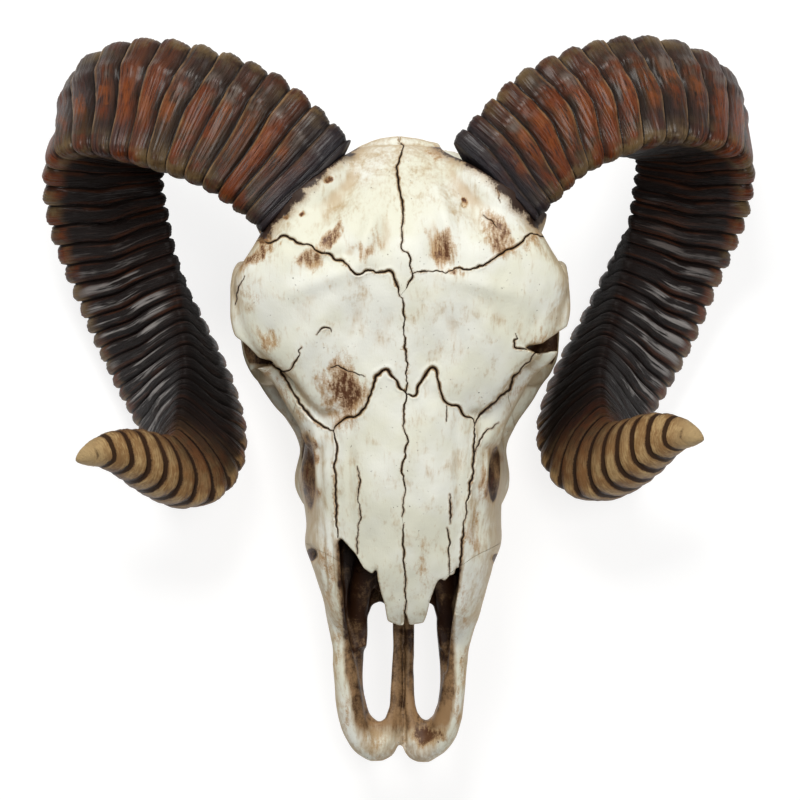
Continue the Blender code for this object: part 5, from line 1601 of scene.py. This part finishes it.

# %% [markdown]
# ## Horn paint
# Horn is built of fine fibres laid across its length, so strands run with the ridges. Each band
# has a tone of its own, rusty, olive or grey violet. The grooves hold black and the lips are
# rubbed to tan. The broad outer face has a painted highlight along its knuckle. The faces turned
# to the skull are painted nearly black as painted shade, glossy, with painted highlights on
# their slats. The last third turns to ochre, with painted shade on its inner faces and where it
# turns away from the top.

# %% Colours and noises of the horn
RUST, OLIVE, VIOLET = (0.150, 0.032, 0.006), (0.050, 0.023, 0.008), (0.030, 0.018, 0.018)
SOOT, ROPE_BROWN, LIP_TAN = (0.012, 0.007, 0.005), (0.22, 0.072, 0.024), (0.36, 0.215, 0.10)
# Brown where the outer face bends over, and the grey of a painted highlight along its knuckle.
TOP_BROWN, KNUCKLE_HIGHLIGHT_GREY = (0.030, 0.017, 0.012), (0.21, 0.165, 0.14)
WARM_RUST, FLANK_TAN = (0.27, 0.066, 0.010), (0.23, 0.15, 0.065)
# Near black of painted shade on the faces turned to the skull, with red patches in it.
TURNED_SHADE_BLACK, TURNED_RED = (0.014, 0.009, 0.008), (0.080, 0.026, 0.012)
# Red rims, the grey of painted highlights on the slats, and the black of painted shade on the face
# turned furthest away.
RIM_RED, SLAT_HIGHLIGHT_GREY, HIDDEN_SHADE_BLACK = (0.075, 0.024, 0.010), (0.40, 0.375, 0.36), (0.008, 0.006, 0.006)
OCHRE_DARK, OCHRE_LIGHT, TIP_CREAM = (0.28, 0.155, 0.062), (0.53, 0.36, 0.17), (0.60, 0.43, 0.22)
ROOT_GREY, SOAKED_BROWN = (0.020, 0.019, 0.024), (0.11, 0.050, 0.022)
GROOVE_INK, GROOVE_BROWN = (0.010, 0.006, 0.005), (0.034, 0.016, 0.008)


def horn_noises(p):
    """Noises and facts that the layers of the horn share, kept on the paint."""
    strands = p.node("ShaderNodeMapping", {"Vector": p.fact("grain", "Vector"),
                                           "Scale": (1.0, 0.09, 0.09)})
    p.threads = p.noise(strands, 0.5, 4.0, 0.6, 0.2)
    p.ropes = p.noise(strands, 2.2, 4.0, 0.6, 0.4)
    at = p.millimetres()
    p.patch, p.broad, p.fine = p.noise(at, 10.0, 5.0, 0.6), p.noise(at, 38.0, 3.0), p.noise(at, 0.8)
    p.run, p.inner, p.wrap = p.fact("run"), p.fact("inner"), p.fact("wrap")
    p.low, p.groove, p.up = p.fact("low"), p.fact("groove"), p.fact("up")
    p.hump = 1 - p.low
    # The faces turned to the skull, which the paint darkens as painted shade.
    p.dark = (p.inner + (p.patch - 0.5) * 0.2).between(-0.45, -0.25)

# %% Bands of the horn
def banded_horn(p):
    """Rusty, olive and violet bands with black threads and brown ropes of fibre."""
    tone = p.fact("tone")
    colour = p.mix(RUST, OLIVE, (tone * 0.4 + (p.patch - 0.5) * 1.6 + 0.3).between(0.34, 0.70))
    violet = p.broad + (tone - 0.5) * 0.12 + (p.ropes - 0.5) * 0.4
    colour = p.mix(colour, VIOLET, violet.between(0.50, 0.68) * 0.8)
    colour = p.mix(colour, SOOT, p.threads.between(0.50, 0.34) * 0.8)
    colour = p.mix(colour, ROPE_BROWN, p.ropes.between(0.54, 0.74) * 0.6)
    return p.mix(colour, SOOT, p.hump.between(0.70, 0.15) * 0.75)

# %% Faces turned to the light
def lit_faces(p, colour):
    """The broad outer face: browner where it bends over, a painted grey highlight along the
    knuckle, rusty below, tan on the lips.
    """
    outer = p.inner.between(-0.35, -0.60)
    over = outer * (p.wrap + (p.patch - 0.5) * 0.25).between(-0.42, -0.62)
    colour = p.mix(colour, TOP_BROWN, over * 0.6)
    # Painted highlight along the knuckle.
    knuckle_highlight = outer * p.wrap.between(-0.66, -0.50) * p.wrap.between(-0.22, -0.40)
    colour = p.mix(colour, KNUCKLE_HIGHLIGHT_GREY, knuckle_highlight * p.hump.between(0.55, 0.9)
                   * (p.patch + (p.threads - 0.5) * 0.6).between(0.42, 0.62) * 0.6)
    warm = outer * p.wrap.between(-0.40, -0.15) * p.wrap.between(0.62, 0.30)
    colour = p.mix(colour, WARM_RUST, warm * p.hump.between(0.45, 0.9)
                   * (p.patch + (p.threads - 0.5) * 0.5).between(0.42, 0.64) * 0.65)
    lips = p.fact("lip") * (p.patch + p.threads * 0.5).between(0.55, 0.9)
    colour = p.mix(colour, LIP_TAN, lips * 0.8)
    tanned = p.inner.between(-0.80, -0.55) * p.inner.between(-0.22, -0.45)
    return p.mix(colour, FLANK_TAN, tanned * p.patch.between(0.40, 0.62) * 0.6)

# %% Faces turned to the skull
def turned_faces(p, colour):
    """Painted shade: nearly black faces with red rims, painted grey highlights on the slats that
    face the light, and black on the face furthest away, whose mask is returned too.
    """
    # The faces turned to the skull are painted nearly black as painted shade.
    turned = p.mix(TURNED_SHADE_BLACK, TURNED_RED, (p.ropes + (p.broad - 0.5)).between(0.52, 0.85) * 0.8)
    colour = p.mix(colour, turned, p.dark * p.run.between(0.90, 0.78))
    rims = p.dark * p.hump.between(0.15, 0.5) * p.hump.between(0.95, 0.6)
    rims = rims * p.run.between(0.86, 0.70)
    colour = p.mix(colour, RIM_RED, rims * p.ropes.between(0.46, 0.6) * 0.7)
    # Painted highlights on the slats that face the light.
    slats = p.dark * p.wrap.between(0.05, 0.30) * p.run.between(0.46, 0.60)
    slats = slats * p.run.between(0.84, 0.76)
    colour = p.mix(colour, SLAT_HIGHLIGHT_GREY, slats * p.hump.between(0.68, 0.98)
                   * (p.ropes + (p.broad - 0.5) * 0.9).between(0.49, 0.63) * 0.8)
    # Black painted shade on the face turned furthest away.
    hidden_shade = p.inner.between(-0.30, 0.10) * p.wrap.between(0.10, -0.15)
    return p.mix(colour, HIDDEN_SHADE_BLACK, hidden_shade * p.run.between(0.84, 0.74) * 0.85), hidden_shade

# %% Pale end, root and grooves
def pale_end(p, colour):
    """The ochre last third, with painted shade on its inner faces and where it turns away from the
    top, and its mask.
    """
    ochre = p.mix(OCHRE_DARK, OCHRE_LIGHT, (p.patch + (p.threads - 0.5) * 0.7).between(0.36, 0.70))
    ochre = p.mix(ochre, (0.12, 0.055, 0.022), p.ropes.between(0.56, 0.76) * 0.6)
    # Painted shade on the inner faces of the pale end.
    ochre = p.mix(ochre, (0.055, 0.026, 0.012), (p.inner + (p.patch - 0.5) * 0.8).between(0.0, 0.9)
                  * p.run.between(0.95, 0.84) * 0.85)
    # Painted shade where the pale end turns away from the top.
    sides = (p.up + (p.patch - 0.5) * 0.6 + (p.threads - 0.5) * 0.3).between(0.72, 0.20)
    ochre = p.mix(ochre, (0.11, 0.05, 0.022), sides * 0.75)
    light_end = (p.run + (p.broad - 0.5) * 0.08 - p.dark * 0.06).between(0.735, 0.85)
    colour = p.mix(colour, ochre, light_end)
    return p.mix(colour, TIP_CREAM, p.run.between(0.955, 0.99) * 0.8), light_end


def inked_grooves(p, colour, light_end):
    """Grey root, and ink in the grooves, which soaks into the bands of the pale end."""
    fine = p.fine - 0.5
    root = (p.run + (p.patch - 0.5) * 0.03).between(0.075, 0.015)
    colour = p.mix(colour, ROOT_GREY, root * 0.93)
    soaked = p.low.between(0.18, 0.70) + (p.patch - 0.5) * 1.6 + fine * 0.6
    colour = p.mix(colour, SOAKED_BROWN, light_end * soaked.between(0.05, 0.7)
                   * p.run.between(0.975, 0.93) * 0.85)
    black = p.groove + fine * 0.5 + light_end * soaked.between(0.35, 1.1) * 0.8
    black = black * p.run.between(0.985, 0.96)
    ink = p.mix(GROOVE_INK, GROOVE_BROWN, light_end)
    return p.mix(colour, ink, black.between(0.30, 0.75) * 0.94)

# %% Horn material
def horn_paint():
    """The layers over each other, varnished where the horn faces up."""
    p = Paint("horn")
    horn_noises(p)
    colour, hidden_shade = turned_faces(p, lit_faces(p, banded_horn(p)))
    colour = inked_grooves(p, *pale_end(p, colour))
    rough = 0.42 + (p.threads - 0.5) * 0.45 + p.groove * 0.2 + hidden_shade * 0.5
    normal = p.bump(p.threads * 0.9 + p.ropes, 0.9)
    normal = p.bump(p.fine, 0.06, normal)
    varnish = (p.up + (p.patch - 0.5) * 0.4).between(0.0, 0.55) * 0.20
    varnish = varnish * (1 - p.dark * 0.7) * (1 - hidden_shade * 0.9)
    return p.finish(Base_Color=colour, Roughness=rough, Normal=normal, Coat_Weight=varnish,
                    Coat_Roughness=0.26, Specular_IOR_Level=0.16)

# %% [markdown]
# ## Settling on the floor
# The bench work is done: every mesh is moved from the face frame into metres and tipped to the
# pose of the real skull at rest. Each piece then takes over its bone in the solid model.

# %% Settle, paint and hand over
WORN = 0.0012
bone_material, horn_material = bone_paint(), horn_paint()


def worn_flat(piece):
    """Press what would go below the floor up against it, as the weight wears it flat."""
    spots = points_of(piece)
    low = spots[:, 2] < WORN
    spots[low, 2] = WORN * np.exp((spots[low, 2] - WORN) / WORN)
    set_points(piece, spots)


def handed_over(piece, nodes, material, slot):
    """Settle a piece in its place, paint it and let it stand for these CAD nodes."""
    piece.data.transform(TO_FLOOR)
    worn_flat(piece)
    piece.data.materials.clear()
    piece.data.materials.append(material)
    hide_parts(*nodes)
    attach(piece, "root")


for bone, names in bones.items():
    only(bone)
    bpy.ops.object.shade_smooth_by_angle(angle=math.radians(50))
    handed_over(bone, names, bone_material, "bone")
for word, pieces in horns.items():
    for part, piece in zip(("root", "curl", "tip"), pieces):
        handed_over(piece, [f"horn_{word}_{part}"], horn_material,
                    "horn_tip" if part == "tip" else "horn")

# %% [markdown]
# ## Floor and light
# The photograph has a plain white ground and broad light from above the crown, so the faces
# turned away from it stay dark. A faintly glowing floor keeps the ground white.

# %% Floor
bpy.ops.mesh.primitive_plane_add(size=12.0, location=(0.0, 0.0, 0.0))
floor = bpy.context.object
floor.name = "floor"
floor.data.materials.append(Paint("floor").finish(
    Base_Color=(0.28, 0.28, 0.28), Roughness=0.9, Emission_Color=(1.0, 1.0, 1.0),
    Emission_Strength=0.82))

# %% Lamps and sky
def lamp(name, place, size, power, colour):
    """Square soft lamp at a place in the face frame, in metres, aimed at the forehead."""
    bulb = bpy.data.objects.new(name, bpy.data.lights.new(name, "AREA"))
    bpy.context.scene.collection.objects.link(bulb)
    bulb.data.size = size
    bulb.data.energy = power
    bulb.data.color = colour
    spot = FACE_ORIGIN @ FACE_TURN @ Vector(place)
    turn = (FACE_ORIGIN.translation - spot).to_track_quat("-Z", "Y")
    bulb.matrix_world = Matrix.Translation(spot) @ turn.to_matrix().to_4x4()


lamp("crown_lamp", (-0.25, 1.15, 1.25), 0.6, 21.0, (1.0, 0.99, 0.955))
lamp("front_lamp", (0.35, 0.1, 1.7), 0.6, 11.0, (1.0, 0.99, 0.965))
world = bpy.data.worlds.new("studio")
bpy.context.scene.world = world
world.use_nodes = True
sky_light = world.node_tree.nodes["Background"]
sky_light.inputs["Color"].default_value = (1.0, 1.0, 1.0, 1.0)
sky_light.inputs["Strength"].default_value = 0.10
bpy.context.scene.view_settings.view_transform = "Standard"
print("lamps", [bulb.name for bulb in bpy.data.lights])
